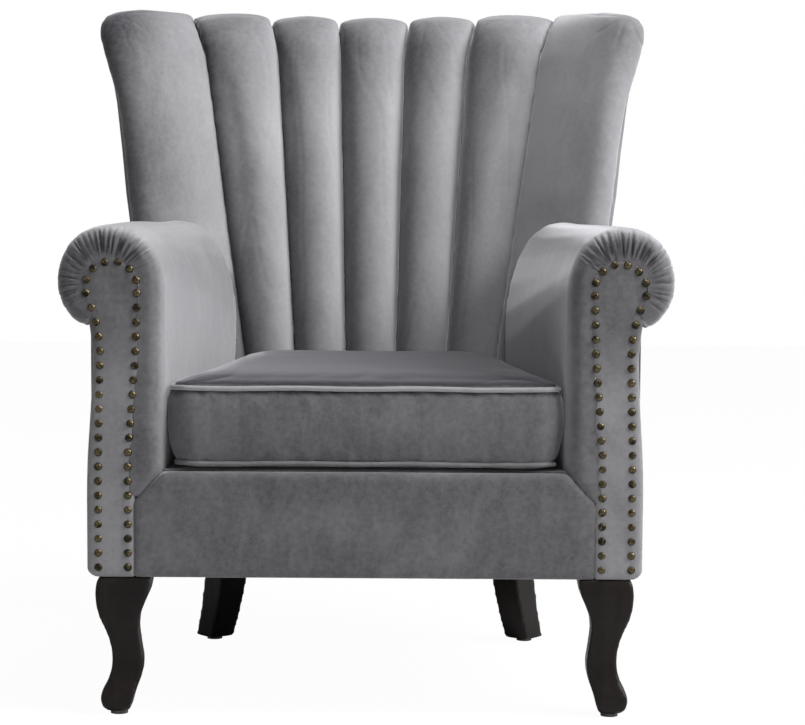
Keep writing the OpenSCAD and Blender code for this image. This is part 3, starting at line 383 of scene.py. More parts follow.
@dataclass(frozen=True)
class Metal(Finish):
    """Metal with a patina in its low places and rubbed, brighter patches."""

    bright: Point
    patina: Point
    roughness: float
    patch_scale: float = 120.0
    grain_scale: float = 1400.0

    def paint(self, shade: Shade) -> None:
        """Spreads the patina in patches over a fine grain.

        Args:
            shade: The material under construction.
        """
        spots = shade.cloud(self.patch_scale, 4.0, warp=0.6)
        grain = shade.cloud(self.grain_scale, 2.0)
        old = spots.limit(0.4, 0.66)
        shade.feed(Base_Color=shade.mixed(old, self.bright, self.patina))
        shade.feed(Roughness=self.roughness + old * 0.22 + grain * 0.08)
        shade.constant(Metallic=1.0)
        shade.bump(grain * 0.4 + spots * 0.6, 0.3, 0.0003)


@dataclass(frozen=True)
class Woven(Finish):
    """Plain weave of two directions of yarn, as webbing, cambric and zip tape are."""

    dark: Point
    light: Point
    yarns: float

    def paint(self, shade: Shade) -> None:
        """Crosses two directions of yarn, with slubs.

        Args:
            shade: The material under construction.
        """
        spacing = {"Vector": shade.place, "Scale": self.yarns}
        warp, weft = (
            shade.node("ShaderNodeTexWave", {"wave_type": "BANDS", "bands_direction": way}, spacing)["Fac"]
            for way in ("X", "DIAGONAL")
        )
        slub = shade.cloud(self.yarns * 0.6, 3.0)
        height = warp * 0.4 + weft * 0.4 + slub * 0.2
        shade.feed(Base_Color=shade.ramp(height, [(0.2, self.dark), (0.8, self.light)]))
        shade.feed(Roughness=slub.limit(0.2, 0.8, 0.95, 0.8))
        shade.bump(height, 0.5, 0.0008)


@dataclass(frozen=True)
class Porous(Finish):
    """Foam, felt or moulded plastic: fine cells over a slow change of shade."""

    dark: Point
    light: Point
    cells: float
    roughness: float

    def paint(self, shade: Shade) -> None:
        """Scatters fine cells over a slow change of shade.

        Args:
            shade: The material under construction.
        """
        spacing = {"Vector": shade.place, "Scale": self.cells}
        cells = shade.node("ShaderNodeTexVoronoi", {}, spacing)["Distance"]
        shift = shade.cloud(12.0, 3.0)
        tone = cells.limit(0.05, 0.6) * 0.6 + shift * 0.4
        shade.feed(Base_Color=shade.ramp(tone, [(0.2, self.dark), (0.8, self.light)]))
        shade.feed(Roughness=shift.limit(0.3, 0.7, self.roughness, self.roughness - 0.1))
        shade.bump(cells, 0.35, 0.0006)


class Finishes:
    """Every finish of the chair, built once, by the record's slot."""

    def __init__(self) -> None:
        """Builds the materials."""
        dark_leg = ((0.0035, 0.003, 0.003), (0.011, 0.0085, 0.0075))
        raw = ((0.3, 0.2, 0.11), (0.5, 0.36, 0.22))
        black = ((0.012, 0.012, 0.012), (0.04, 0.04, 0.04))
        finishes = (
            Velvet(),
            Wood("leg_wood", *dark_leg, roughness=0.33, gloss=0.09),
            Wood("frame_wood", *raw, roughness=0.72, grain_axis=0),
            Metal("nail_brass", (0.062, 0.05, 0.028), (0.012, 0.01, 0.007), roughness=0.22),
            Metal("steel", (0.56, 0.56, 0.57), (0.3, 0.29, 0.28), roughness=0.34, patch_scale=60.0),
            Woven("jute_webbing", (0.2, 0.13, 0.07), (0.5, 0.37, 0.22), yarns=160.0),
            Woven("black_lining", (0.008, 0.008, 0.009), (0.03, 0.03, 0.032), yarns=420.0),
            Woven("zip_tape", (0.03, 0.03, 0.033), (0.09, 0.088, 0.095), yarns=520.0),
            Porous("felt_pad", (0.26, 0.25, 0.24), (0.46, 0.44, 0.42), cells=420.0, roughness=0.97),
            Porous("foam", (0.55, 0.48, 0.3), (0.8, 0.74, 0.52), cells=600.0, roughness=0.95),
            Porous("glide_plastic", *black, cells=900.0, roughness=0.5),
        )
        self.by_slot = {finish.name: finish.build() for finish in finishes}

    def dress(self, piece: Piece, slot: str) -> None:
        """Gives a whole piece the finish of one slot."""
        piece.data.materials.clear()
        piece.data.materials.append(self.by_slot[slot])


def placed(name: str, data: bpy.types.ID) -> Piece:
    """A new object of some data, linked to the scene.

    Args:
        name: The object's name.
        data: Its mesh, curve, light or camera.

    Returns:
        The object.
    """
    thing = bpy.data.objects.new(name, data)
    bpy.context.scene.collection.objects.link(thing)
    return thing


@contextmanager
def editing(source: bpy.types.Mesh, result: bpy.types.Mesh) -> Iterator[bmesh.types.BMesh]:
    """Opens a mesh for editing and writes it to a mesh at the end, the same one or another.

    Args:
        source: The mesh to read.
        result: The mesh to write.

    Yields:
        The mesh under edit.
    """
    work = bmesh.new()
    work.from_mesh(source)
    yield work
    work.to_mesh(result)
    work.free()


def lookup(places: Iterable[Point]) -> KDTree:
    """A tree that finds the nearest of some places, numbered in their order.

    Args:
        places: The places.

    Returns:
        The tree.
    """
    rows = list(places)
    tree = KDTree(len(rows))
    for index, place in enumerate(rows):
        tree.insert(place, index)
    tree.balance()
    return tree


class Craft:
    """Mesh work shared by all the pieces: copies of the frame's nodes, softened and shaped."""

    def __init__(self, frame: dict, finishes: Finishes) -> None:
        """Keeps the frame's nodes and the finishes."""
        self.nodes = frame["nodes"]
        self.finishes = finishes

    def islands(self, work: bmesh.types.BMesh) -> list[list[bmesh.types.BMVert]]:
        """Finds the separate closed parts of a mesh, in the order of their first points.

        Args:
            work: The mesh, with its loose triangles joined.

        Returns:
            The points of each part.
        """
        left, parts = set(work.verts), []
        for first in work.verts:
            if first not in left:
                continue
            left.discard(first)
            part, edge = [], [first]
            while edge:
                vertex = edge.pop()
                part.append(vertex)
                for other in (link.other_vert(vertex) for link in vertex.link_edges):
                    if other in left:
                        left.discard(other)
                        edge.append(other)
            parts.append(part)
        return parts

    def span(self, part: Sequence[bmesh.types.BMVert]) -> tuple[Values, Values]:
        """Lowest and highest corner of a part."""
        places = np.array([vertex.co for vertex in part])
        return places.min(axis=0), places.max(axis=0)

    def merged(self, node: str, name: str, shell_only: bool = False) -> Piece:
        """A copy of a node's mesh with its loose triangles joined.

        Args:
            node: The frame's node.
            name: The new piece.
            shell_only: Leaves out closed walls that lie inside the largest one.

        Returns:
            The copy, without material or parent.
        """
        mesh = bpy.data.meshes.new(name)
        with editing(self.nodes[node].data, mesh) as work:
            bmesh.ops.remove_doubles(work, verts=work.verts, dist=WELD)
            if shell_only:
                parts = self.islands(work)
                sizes = [float(np.prod(high - low)) for low, high in map(self.span, parts)]
                inner = [vertex for part, size in zip(parts, sizes) if size < max(sizes) for vertex in part]
                bmesh.ops.delete(work, geom=inner, context="VERTS")
            bmesh.ops.recalc_face_normals(work, faces=work.faces)
        mesh.materials.clear()
        return placed(name, mesh)

    def settle(self, piece: Piece) -> None:
        """Applies every modifier of a piece to its mesh.

        Args:
            piece: The piece, which is left without modifiers.
        """
        graph = bpy.context.evaluated_depsgraph_get()
        mesh = bpy.data.meshes.new_from_object(piece.evaluated_get(graph), depsgraph=graph)
        old = piece.data
        piece.modifiers.clear()
        piece.data = mesh
        bpy.data.meshes.remove(old)

    def modify(self, piece: Piece, kind: str, **settings: float | str | bool) -> None:
        """Adds a modifier with settings.

        Args:
            piece: The piece.
            kind: The modifier's type.
            settings: Its properties by name.
        """
        modifier = piece.modifiers.new(kind.title(), kind)
        for key, value in settings.items():
            setattr(modifier, key, value)

    def smooth(self, piece: Piece, rounds: int) -> None:
        """Evens a piece out by smoothing passes."""
        self.modify(piece, "SMOOTH", factor=0.5, iterations=rounds)
        self.settle(piece)

    def soft(
        self, node: str, name: str, voxel: float, rounds: int, shell_only: bool = False
    ) -> Piece:
        """An even, softened copy of a padded node.

        Args:
            node: The frame's node.
            name: The new piece.
            voxel: Size of its even faces.
            rounds: Smoothing passes.
            shell_only: Leaves out closed walls inside the outer one.

        Returns:
            The piece, without material or parent.
        """
        piece = self.merged(node, name, shell_only)
        self.modify(piece, "REMESH", mode="VOXEL", voxel_size=voxel)
        self.smooth(piece, rounds)
        return piece

    def points(self, piece: Piece) -> Rows:
        """The piece's points, one row each.

        Args:
            piece: The piece.

        Returns:
            A copy of its points.
        """
        flat = np.empty(len(piece.data.vertices) * 3)
        piece.data.vertices.foreach_get("co", flat)
        return flat.reshape(-1, 3)

    def normals(self, piece: Piece) -> Rows:
        """The normals of the piece's points.

        Args:
            piece: The piece.

        Returns:
            One row for each point.
        """
        flat = np.empty(len(piece.data.vertices) * 3)
        piece.data.vertex_normals.foreach_get("vector", flat)
        return flat.reshape(-1, 3)

    def place(self, piece: Piece, points: Rows) -> None:
        """Moves the piece's points."""
        piece.data.vertices.foreach_set("co", points.reshape(-1))
        piece.data.update()

    def push(self, piece: Piece, shift: Shift) -> None:
        """Moves points along their normals by what shift returns for them."""
        points, normals = self.points(piece), self.normals(piece)
        self.place(piece, points + normals * shift(points, normals)[:, None])

    def puff(self, piece: Piece, cap: float, pressure: float, held: Shift) -> None:
        """Blows a padded piece up as cloth, outwards alone, and caps how far its points move.

        Args:
            piece: The piece, closed and evenly meshed.
            cap: The most that a point may move.
            pressure: Pressure of the cloth's filling.
            held: Share of the movement that each point keeps.
        """
        before, normals = self.points(piece), self.normals(piece)
        cloth = piece.modifiers.new("Cloth", "CLOTH")
        cloth.settings.use_pressure = True
        cloth.settings.uniform_pressure_force = pressure
        cloth.settings.effector_weights.gravity = 0.0
        cloth.settings.quality = 4
        cloth.settings.mass = CLOTH_MASS
        cloth.settings.tension_stiffness = CLOTH_STIFFNESS
        cloth.settings.compression_stiffness = CLOTH_STIFFNESS
        cloth.settings.bending_stiffness = CLOTH_BENDING
        cloth.collision_settings.use_collision = False
        cloth.point_cache.frame_start = 1
        cloth.point_cache.frame_end = CLOTH_FRAMES
        scene = bpy.context.scene
        for step in range(1, CLOTH_FRAMES + 1):
            scene.frame_set(step)
        self.settle(piece)
        scene.frame_set(1)
        move = self.points(piece) - before
        sunk = np.minimum((move * normals).sum(axis=1), 0.0)
        move -= normals * sunk[:, None]
        length = np.maximum(np.linalg.norm(move, axis=1), TINY)
        share = np.minimum(length, cap) / length * held(before, normals)
        self.place(piece, before + move * share[:, None])

    def taut(self, node: str, name: str, edge: float) -> Piece:
        """Makes a copy of a thin stretched panel with flat faces joined and its edges rounded.

        Args:
            node: The frame's node.
            name: The new piece.
            edge: Width of the rounding.

        Returns:
            The piece, without material or parent.
        """
        piece = self.merged(node, name)
        with editing(piece.data, piece.data) as work:
            bmesh.ops.dissolve_limit(work, angle_limit=FLAT_ANGLE, verts=work.verts, edges=work.edges)
        limit = {"limit_method": "ANGLE", "angle_limit": EDGE_ANGLE}
        self.modify(piece, "BEVEL", width=edge, segments=3, **limit)
        self.modify(piece, "TRIANGULATE")
        self.settle(piece)
        return piece

    def refine(self, piece: Piece) -> None:
        """Subdivides a piece once."""
        self.modify(piece, "SUBSURF", levels=1, render_levels=1)
        self.settle(piece)

    def finish(
        self,
        piece: Piece,
        replaced: Sequence[str],
        slot: str = "velvet",
        body: str = "chair",
        fill: float | None = None,
        nap: float | Shift = 0.0,
    ) -> None:
        """Smooths the shading, dresses a piece, and hands it to the frame.

        Args:
            piece: The finished mesh.
            replaced: The frame's nodes that it stands for.
            slot: The record's slot, whose finish the piece takes.
            body: The body that it rides on.
            fill: How tight a padded piece is stuffed, or None where it is no pad; not used.
            nap: Painted light and shade of its pile, paler where higher, or what gives that for points.
        """
        if slot == "velvet":
            # Stores painted light and shade on the points, for the velvet's colour.
            painted_light = piece.data.attributes.new("nap", "FLOAT", "POINT")
            values = nap(self.points(piece), self.normals(piece)) if callable(nap) else nap
            painted_light.data.foreach_set("value", np.zeros(len(piece.data.vertices)) + values)
        for face in piece.data.polygons:
            face.use_smooth = True
        self.finishes.dress(piece, slot)
        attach(piece, body)
        if replaced:
            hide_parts(*replaced)
        LOG.info("%s: %d faces, rides %s", piece.name, len(piece.data.polygons), body)


class NodeMaker:
    """A Geometry Nodes tree under construction, grown into a plain mesh on given points."""

    def __init__(self, name: str) -> None:
        """Makes an empty tree with a geometry input and output.

        Args:
            name: The tree's name.
        """
        self.tree = bpy.data.node_groups.new(name, "GeometryNodeTree")
        self.tree.interface.new_socket("Points", in_out="INPUT", socket_type="NodeSocketGeometry")
        self.tree.interface.new_socket("Pieces", in_out="OUTPUT", socket_type="NodeSocketGeometry")
        self.entry = self.tree.nodes.new("NodeGroupInput")
        self.values: dict[str, float] = {}

    @property
    def source(self) -> bpy.types.NodeSocket:
        """The points that the tree is given."""
        return self.entry.outputs["Points"]

    def size(self, name: str, value: float) -> bpy.types.NodeSocket:
        """Adds a named size to the tree and returns its socket.

        Args:
            name: The size's name.
            value: Its value.

        Returns:
            Its socket.
        """
        socket = self.tree.interface.new_socket(name, in_out="INPUT", socket_type="NodeSocketFloat")
        self.values[socket.identifier] = value
        return self.entry.outputs[name]

    def node(self, kind: str, inputs: dict) -> bpy.types.bpy_prop_collection:
        """Adds a node and returns its output sockets."""
        return add_node(self.tree, kind, {}, inputs).outputs

    def joined(self, *parts: bpy.types.NodeSocket) -> bpy.types.NodeSocket:
        """Joins geometries.

        Args:
            parts: The geometries.

        Returns:
            One geometry that holds them all.
        """
        made = self.tree.nodes.new("GeometryNodeJoinGeometry")
        for part in parts:
            self.tree.links.new(part, made.inputs["Geometry"])
        return made.outputs["Geometry"]

    def grow(
        self, craft: Craft, name: str, places: Sequence[Vector], result: bpy.types.NodeSocket, slot: str
    ) -> Piece:
        """Runs the tree on points and keeps the result as a plain mesh.

        Args:
            craft: The shared mesh work.
            name: The new piece.
            places: Where the points are.
            result: The tree's geometry.
            slot: The finish that the tree sets.

        Returns:
            The piece, without a parent.
        """
        real = self.node("GeometryNodeRealizeInstances", {"Geometry": result})
        coat = {"Geometry": real["Geometry"], "Material": craft.finishes.by_slot[slot]}
        dressed = self.node("GeometryNodeSetMaterial", coat)
        exit_node = self.tree.nodes.new("NodeGroupOutput")
        self.tree.links.new(dressed["Geometry"], exit_node.inputs["Pieces"])
        mesh = bpy.data.meshes.new(name)
        mesh.from_pydata([tuple(place) for place in places], [], [])
        piece = placed(name, mesh)
        modifier = piece.modifiers.new("Grow", "NODES")
        modifier.node_group = self.tree
        for identifier, value in self.values.items():
            modifier[identifier] = value
        craft.settle(piece)
        return piece


def clouds(points: Rows, scale: Point, seed: float, octaves: int = 2) -> Values:
    """Smooth noise from about -1 to 1 at each point.

    Args:
        points: Rows of x, y, z in metres.
        scale: Features a metre along each axis.
        seed: Offset that tells one pattern from another.
        octaves: Layers of ever finer noise.

    Returns:
        One value for each row.
    """
    moved = points * np.array(scale) + seed
    shape = (CLOUD_ROUGHNESS, CLOUD_FINENESS, octaves)
    return np.array([noise.fractal(Vector(point), *shape) for point in moved])


def ease(values: Values, low: float, high: float) -> Values:
    """Smooth step from 0 at low to 1 at high."""
    t = np.clip((values - low) / (high - low), 0.0, 1.0)
    return t * t * (3.0 - 2.0 * t)


@dataclass
class SeatCushion:
    """Loose box cushion with a piped seam above and below its boxing. Lengths in metres."""

    front_width: float = 0.499
    rear_width: float = 0.370
    front_y: float = -0.3605
    depth: float = 0.482
    corner: float = 0.030
    corner_steps: int = 16
    side_steps: int = 56
    draw: float = 0.004
    low_seam: float = 0.3205
    top_seam: float = 0.415
    cord_radius: float = 0.0032
    cord_neighbours: int = 8
    # Painted shade on the lower cord under the cushion's overhang, painted light on the upper cord.
    low_cord_painted_light: float = 0.1
    top_cord_painted_light: float = 0.8
    voxel: float = 0.006
    core_voxel: float = 0.008
    pressure: float = 4.0
    cap: float = 0.006
    bulge: float = 0.003
    taper: float = 0.024
    taper_shape: float = 1.5
    valley: float = 0.004
    crown: float = 0.0165
    full_crown: float = 0.026
    crown_shape: float = 0.72
    wave: float = 0.0012
    wave_scale: Point = (11.0, 11.0, 16.0)
    ray_count: float = 7.0
    ray_depth: float = 0.0014
    ray_twist: float = 30.0
    ray_from: Span = (0.012, 0.035)
    ray_until: Span = (0.05, 0.15)
    pucker: float = 0.0007
    pucker_rate: float = 210.0
    pucker_drift: float = 23.0
    pucker_reach: Span = (0.003, 0.026)
    pucker_upright: Span = (0.4, 0.85)
    rear_fade: Span = (0.05, 0.02)
    held_foot: Span = (-0.004, 0.02)
    held_at_seam: float = 0.3
    held_reach: float = 0.02
    # Painted shade on the boxing and, more, on the top.
    side_painted_light: float = -0.25
    top_painted_shading: float = 0.75
    painted_top_facing: Span = (0.25, 0.9)
    foam_share: Point = (0.955, 0.96, 0.93)
    ripple: tuple[Point, Point] = ((0.0006, 0.31, 0.0), (0.0005, 0.83, 1.0))
    seam_depth: float = 0.0026
    seam_reach: float = 0.011
    body: str = "seat_cushion"

    @property
    def rear_y(self) -> float:
        """Where the cushion ends at its rear."""
        return self.front_y + self.depth

    def height(self, points: Rows) -> Values:
        """Height of each point as a share of the boxing, 0 at the lower seam and 1 at the upper."""
        return np.clip((points[:, 2] - self.low_seam) / (self.top_seam - self.low_seam), 0.0, 1.0)

    def from_seam(self, points: Rows) -> Values:
        """Difference in height between each point and the nearer seam."""
        return np.minimum(np.abs(points[:, 2] - self.low_seam), np.abs(points[:, 2] - self.top_seam))

    def outline(self) -> Rows:
        """Draws the seam's path, anticlockwise from above.

        Returns:
            Rows of x, y, 0.
        """
        corners = (
            (self.front_width / 2, self.front_y, -90.0),
            (self.rear_width / 2, self.rear_y, 0.0),
            (-self.rear_width / 2, self.rear_y, 90.0),
            (-self.front_width / 2, self.front_y, 180.0),
        )
        centres = []
        for x, y, start in corners:
            inward = 1.0 if y < 0.0 else -1.0
            centres.append((x - math.copysign(self.corner, x), y + inward * self.corner, start))
        path = []
        for index, (x, y, start) in enumerate(centres):
            for step in range(self.corner_steps):
                turn = math.radians(start + 90.0 * step / self.corner_steps)
                path.append((x + self.corner * math.cos(turn), y + self.corner * math.sin(turn), 0.0))
            end = math.radians(start + 90.0)
            out = Vector((math.cos(end), math.sin(end), 0.0))
            following = centres[(index + 1) % len(centres)]
            first = Vector((x, y, 0.0)) + out * self.corner
            last = Vector((*following[:2], 0.0)) + out * self.corner
            for step in range(self.side_steps):
                share = step / self.side_steps
                point = first.lerp(last, share) - out * self.draw * math.sin(math.pi * share)
                path.append(tuple(point))
        return np.array(path)

    def creases(self, points: Rows, normals: Rows) -> Values:
        """Shapes the boxing's bulge, rays from the corners and small puckers beside the seams.

        Args:
            points: The cover's points.
            normals: Their normals.

        Returns:
            How far each point stands out.
        """
        result = clouds(points, self.wave_scale, 3.0) * self.wave
        result += self.bulge * np.sin(math.pi * self.height(points))
        for x, y in ((self.front_width / 2, self.front_y), (self.rear_width / 2, self.rear_y)):
            for side in (-1.0, 1.0):
                dx, dy = points[:, 0] - side * x, points[:, 1] - y
                reach = np.hypot(dx, dy)
                turn = np.arctan2(dy, dx)
                rays = np.abs(np.sin(turn * self.ray_count + 2.0 * np.sin(reach * self.ray_twist) + side))
                depth = (1.0 - rays) ** 3 * self.ray_depth
                result -= depth * ease(reach, *self.ray_from) * (1.0 - ease(reach, *self.ray_until))
        for level in (self.low_seam, self.top_seam):
            near = 1.0 - ease(np.abs(points[:, 2] - level), *self.pucker_reach)
            near = near * (1.0 - ease(np.abs(normals[:, 2]), *self.pucker_upright))
            drift = 3.0 * np.sin(points[:, 0] * self.pucker_drift)
            along = (points[:, 0] + points[:, 1]) * self.pucker_rate + drift
            result += np.sin(along) * self.pucker * near
        first, last = (self.rear_y - before for before in self.rear_fade)
        return result * (1.0 - ease(points[:, 1], first, last))

    def settled(self, points: Rows) -> Rows:
        """Points with the worn crown pressed down and the foot of the cushion a little narrower.

        Args:
            points: The cover's or the core's points.

        Returns:
            A moved copy of the points.
        """
        points = points.copy()
        above = np.maximum(points[:, 2] - self.top_seam, 0.0)
        points[:, 2] += self.crown * (above / self.full_crown) ** self.crown_shape - above
        points[:, 0] *= 1.0 - self.taper * (1.0 - self.height(points)) ** self.taper_shape
        return points

    def seams(self, points: Rows, _: Rows) -> Values:
        """Pulls the cover in at both seams, so that the cord lies in a valley."""
        return -self.seam_depth * (1.0 - ease(self.from_seam(points), 0.0, self.seam_reach))

    def build(self, craft: Craft) -> None:
        """Makes the cover, its two piped seams and the foam inside.

        Args:
            craft: The shared mesh work.
        """
        cover = craft.soft("cushion_cover", "seat_cushion_cover", self.voxel, 4, shell_only=True)
        craft.puff(cover, self.cap, self.pressure, self.held)
        craft.refine(cover)
        craft.push(cover, self.seams)
        craft.push(cover, self.creases)
        craft.place(cover, self.settled(craft.points(cover)))
        # The lower cord takes painted shade, the upper painted light.
        low = ("low", self.low_seam, "bottom", self.low_cord_painted_light)
        top = ("top", self.top_seam, "top", self.top_cord_painted_light)
        for word, level, place, nap in (low, top):
            cord = self.cord(f"seat_cushion_{word}_piping", self.path(craft.points(cover), level))
            craft.finish(cord, [f"cushion_{place}_piping"], body=self.body, nap=nap)
        craft.finish(cover, ["cushion_cover"], body=self.body, fill=0.9, nap=self.nap)
        core = craft.soft("cushion_core", "seat_cushion_foam", self.core_voxel, 2)
        points = self.settled(craft.points(core))
        middle = points.mean(axis=0)
        craft.place(core, middle + (points - middle) * np.array(self.foam_share))
        craft.finish(core, ["cushion_core"], "foam", self.body, fill=1.0)

    def nap(self, _: Rows, normals: Rows) -> Values:
        """Painted shade of the pile: darker on the boxing, darker still on the top."""
        return self.side_painted_light - self.top_painted_shading * ease(normals[:, 2], *self.painted_top_facing)

    def held(self, points: Rows, _: Rows) -> Values:
        """Share of the blown movement that the cover keeps: none on its underside and its rear.

        Args:
            points: Points of the blown cover.
            _: Their normals, not used.

        Returns:
            A share from 0 to 1 for each point.
        """
        above = ease(points[:, 2], *(self.low_seam + height for height in self.held_foot))
        behind = points[:, 1] - self.front_y - self.depth
        before_rear = 1.0 - ease(behind, *(-before for before in self.rear_fade))
        away = ease(self.from_seam(points), 0.0, self.held_reach)
        return above * before_rear * (self.held_at_seam + (1.0 - self.held_at_seam) * away)

    def path(self, skin: Rows, level: float) -> Rows:
        """Lays a seam's path on the finished cover, with a slight wave.

        Args:
            skin: The cover's points.
            level: The seam's height.

        Returns:
            Rows of x, y, z.
        """
        ring = skin[np.abs(skin[:, 2] - level) < self.valley]
        tree = lookup((x, y, 0.0) for x, y, _ in ring)
        path = self.settled(self.outline() + np.array((0.0, 0.0, level)))
        for step, (x, y, _) in enumerate(path):
            near = [found[1] for found in tree.find_n((x, y, 0.0), self.cord_neighbours)]
            path[step, :2] = ring[near, :2].mean(axis=0)
            waves = (size * math.sin(step * rate + phase * level) for size, rate, phase in self.ripple)
            path[step, 2] += sum(waves)
        return path

    def cord(self, name: str, path: Rows) -> Piece:
        """The piped cord of a seam, half its radius proud of the path.

        Args:
            name: The piece.
            path: The seam's path, closed.

        Returns:
            The cord, a closed tube.
        """
        smooth = sum(np.roll(path, shift, axis=0) for shift in range(-3, 4)) / 7.0
        middle = smooth.mean(axis=0)
        outward = smooth - middle
        outward[:, 2] = 0.0
        outward /= np.linalg.norm(outward, axis=1)[:, None]
        return tube(name, smooth + outward * self.cord_radius * 0.5, self.cord_radius)


def tube(name: str, path: Rows, radius: float) -> Piece:
    """Makes a closed round cord along a path.

    Args:
        name: The new piece.
        path: Rows of x, y, z along the cord's middle.
        radius: The cord's radius.

    Returns:
        The cord as a plain mesh, without material or parent.
    """
    curve = bpy.data.curves.new(name, "CURVE")
    curve.dimensions = "3D"
    curve.bevel_depth = radius
    curve.bevel_resolution = 3
    spline = curve.splines.new("POLY")
    spline.points.add(len(path) - 1)
    for point, place in zip(spline.points, path):
        point.co = (*place, 1.0)
    spline.use_cyclic_u = True
    holder = placed(name + "_path", curve)
    graph = bpy.context.evaluated_depsgraph_get()
    mesh = bpy.data.meshes.new_from_object(holder.evaluated_get(graph), depsgraph=graph)
    bpy.data.objects.remove(holder)
    bpy.data.curves.remove(curve)
    return placed(name, mesh)


@dataclass
class ChannelledBack:
    """Five stuffed channels of the inside back. Lengths in metres."""

    count: int = 5
    voxel: float = 0.0055
    pressure: float = 3.0
    cap: float = 0.009
    held_facing: Span = (0.1, 0.7)
    rounds: int = 5
    blown_rounds: int = 8
    crease: float = 0.001
    crease_upward: float = 0.4
    crease_facing: Span = (0.0, 0.6)
    seed_step: float = 5.7
    broad_scale: Point = (17.0, 17.0, 3.2)
    fold_scale: Point = (24.0, 20.0, 2.6)
    fold_from: float = 0.9
    # Painted light on the channels' right-facing sides and towards the right, painted shade towards the top.
    rest_painted_light: float = 0.55
    turn_painted_light: float = 0.8
    across_painted_light: float = 0.8
    top_painted_shading: float = 0.55
    top_z: Span = (0.74, 0.9)

    def held(self, points: Rows, normals: Rows) -> Values:
        """Share of the blown movement that a channel keeps: most on its front, none on its back."""
        return ease(-normals[:, 1], *self.held_facing)

    def nap(self, points: Rows, normals: Rows) -> Values:
        """Painted light: palest where a channel turns to the right, paler to the right, with painted shade
        towards the top.
        """
        rightward = self.rest_painted_light + self.turn_painted_light * normals[:, 0] + self.across_painted_light * points[:, 0]
        return rightward - self.top_painted_shading * ease(points[:, 2], *self.top_z)

    def creases(self, seed: float) -> Shift:
        """The soft upright folds of one channel.

        Args:
            seed: Tells one channel's folds from another's.

        Returns:
            What gives the depth of the folds at points.
        """

        def shift(points: Rows, normals: Rows) -> Values:
            """Depth of the folds at each point.

            Args:
                points: Points of the channel's cover.
                normals: Their normals.

            Returns:
                Metres along each normal.
            """
            front = ease(-normals[:, 1] + self.crease_upward * normals[:, 2], *self.crease_facing)
            broad = clouds(points, self.broad_scale, seed, 1)
            fold = 1.0 - np.abs(clouds(points, self.fold_scale, seed + 9.0, 1))
            sharp = np.clip(fold - self.fold_from, 0.0, 1.0) * self.crease * 3.0
            return front * (broad * self.crease - sharp)

        return shift

    def build(self, craft: Craft) -> None:
        """Makes every channel.

        Args:
            craft: The shared mesh work.
        """
        for number in range(1, self.count + 1):
            channel = craft.soft(f"back_channel_{number}", f"channel_{number}", self.voxel, self.rounds)
            craft.puff(channel, self.cap, self.pressure, self.held)
            craft.smooth(channel, self.blown_rounds)
            craft.refine(channel)
            craft.push(channel, self.creases(number * self.seed_step))
            craft.finish(channel, [f"back_channel_{number}"], fill=0.8, nap=self.nap)


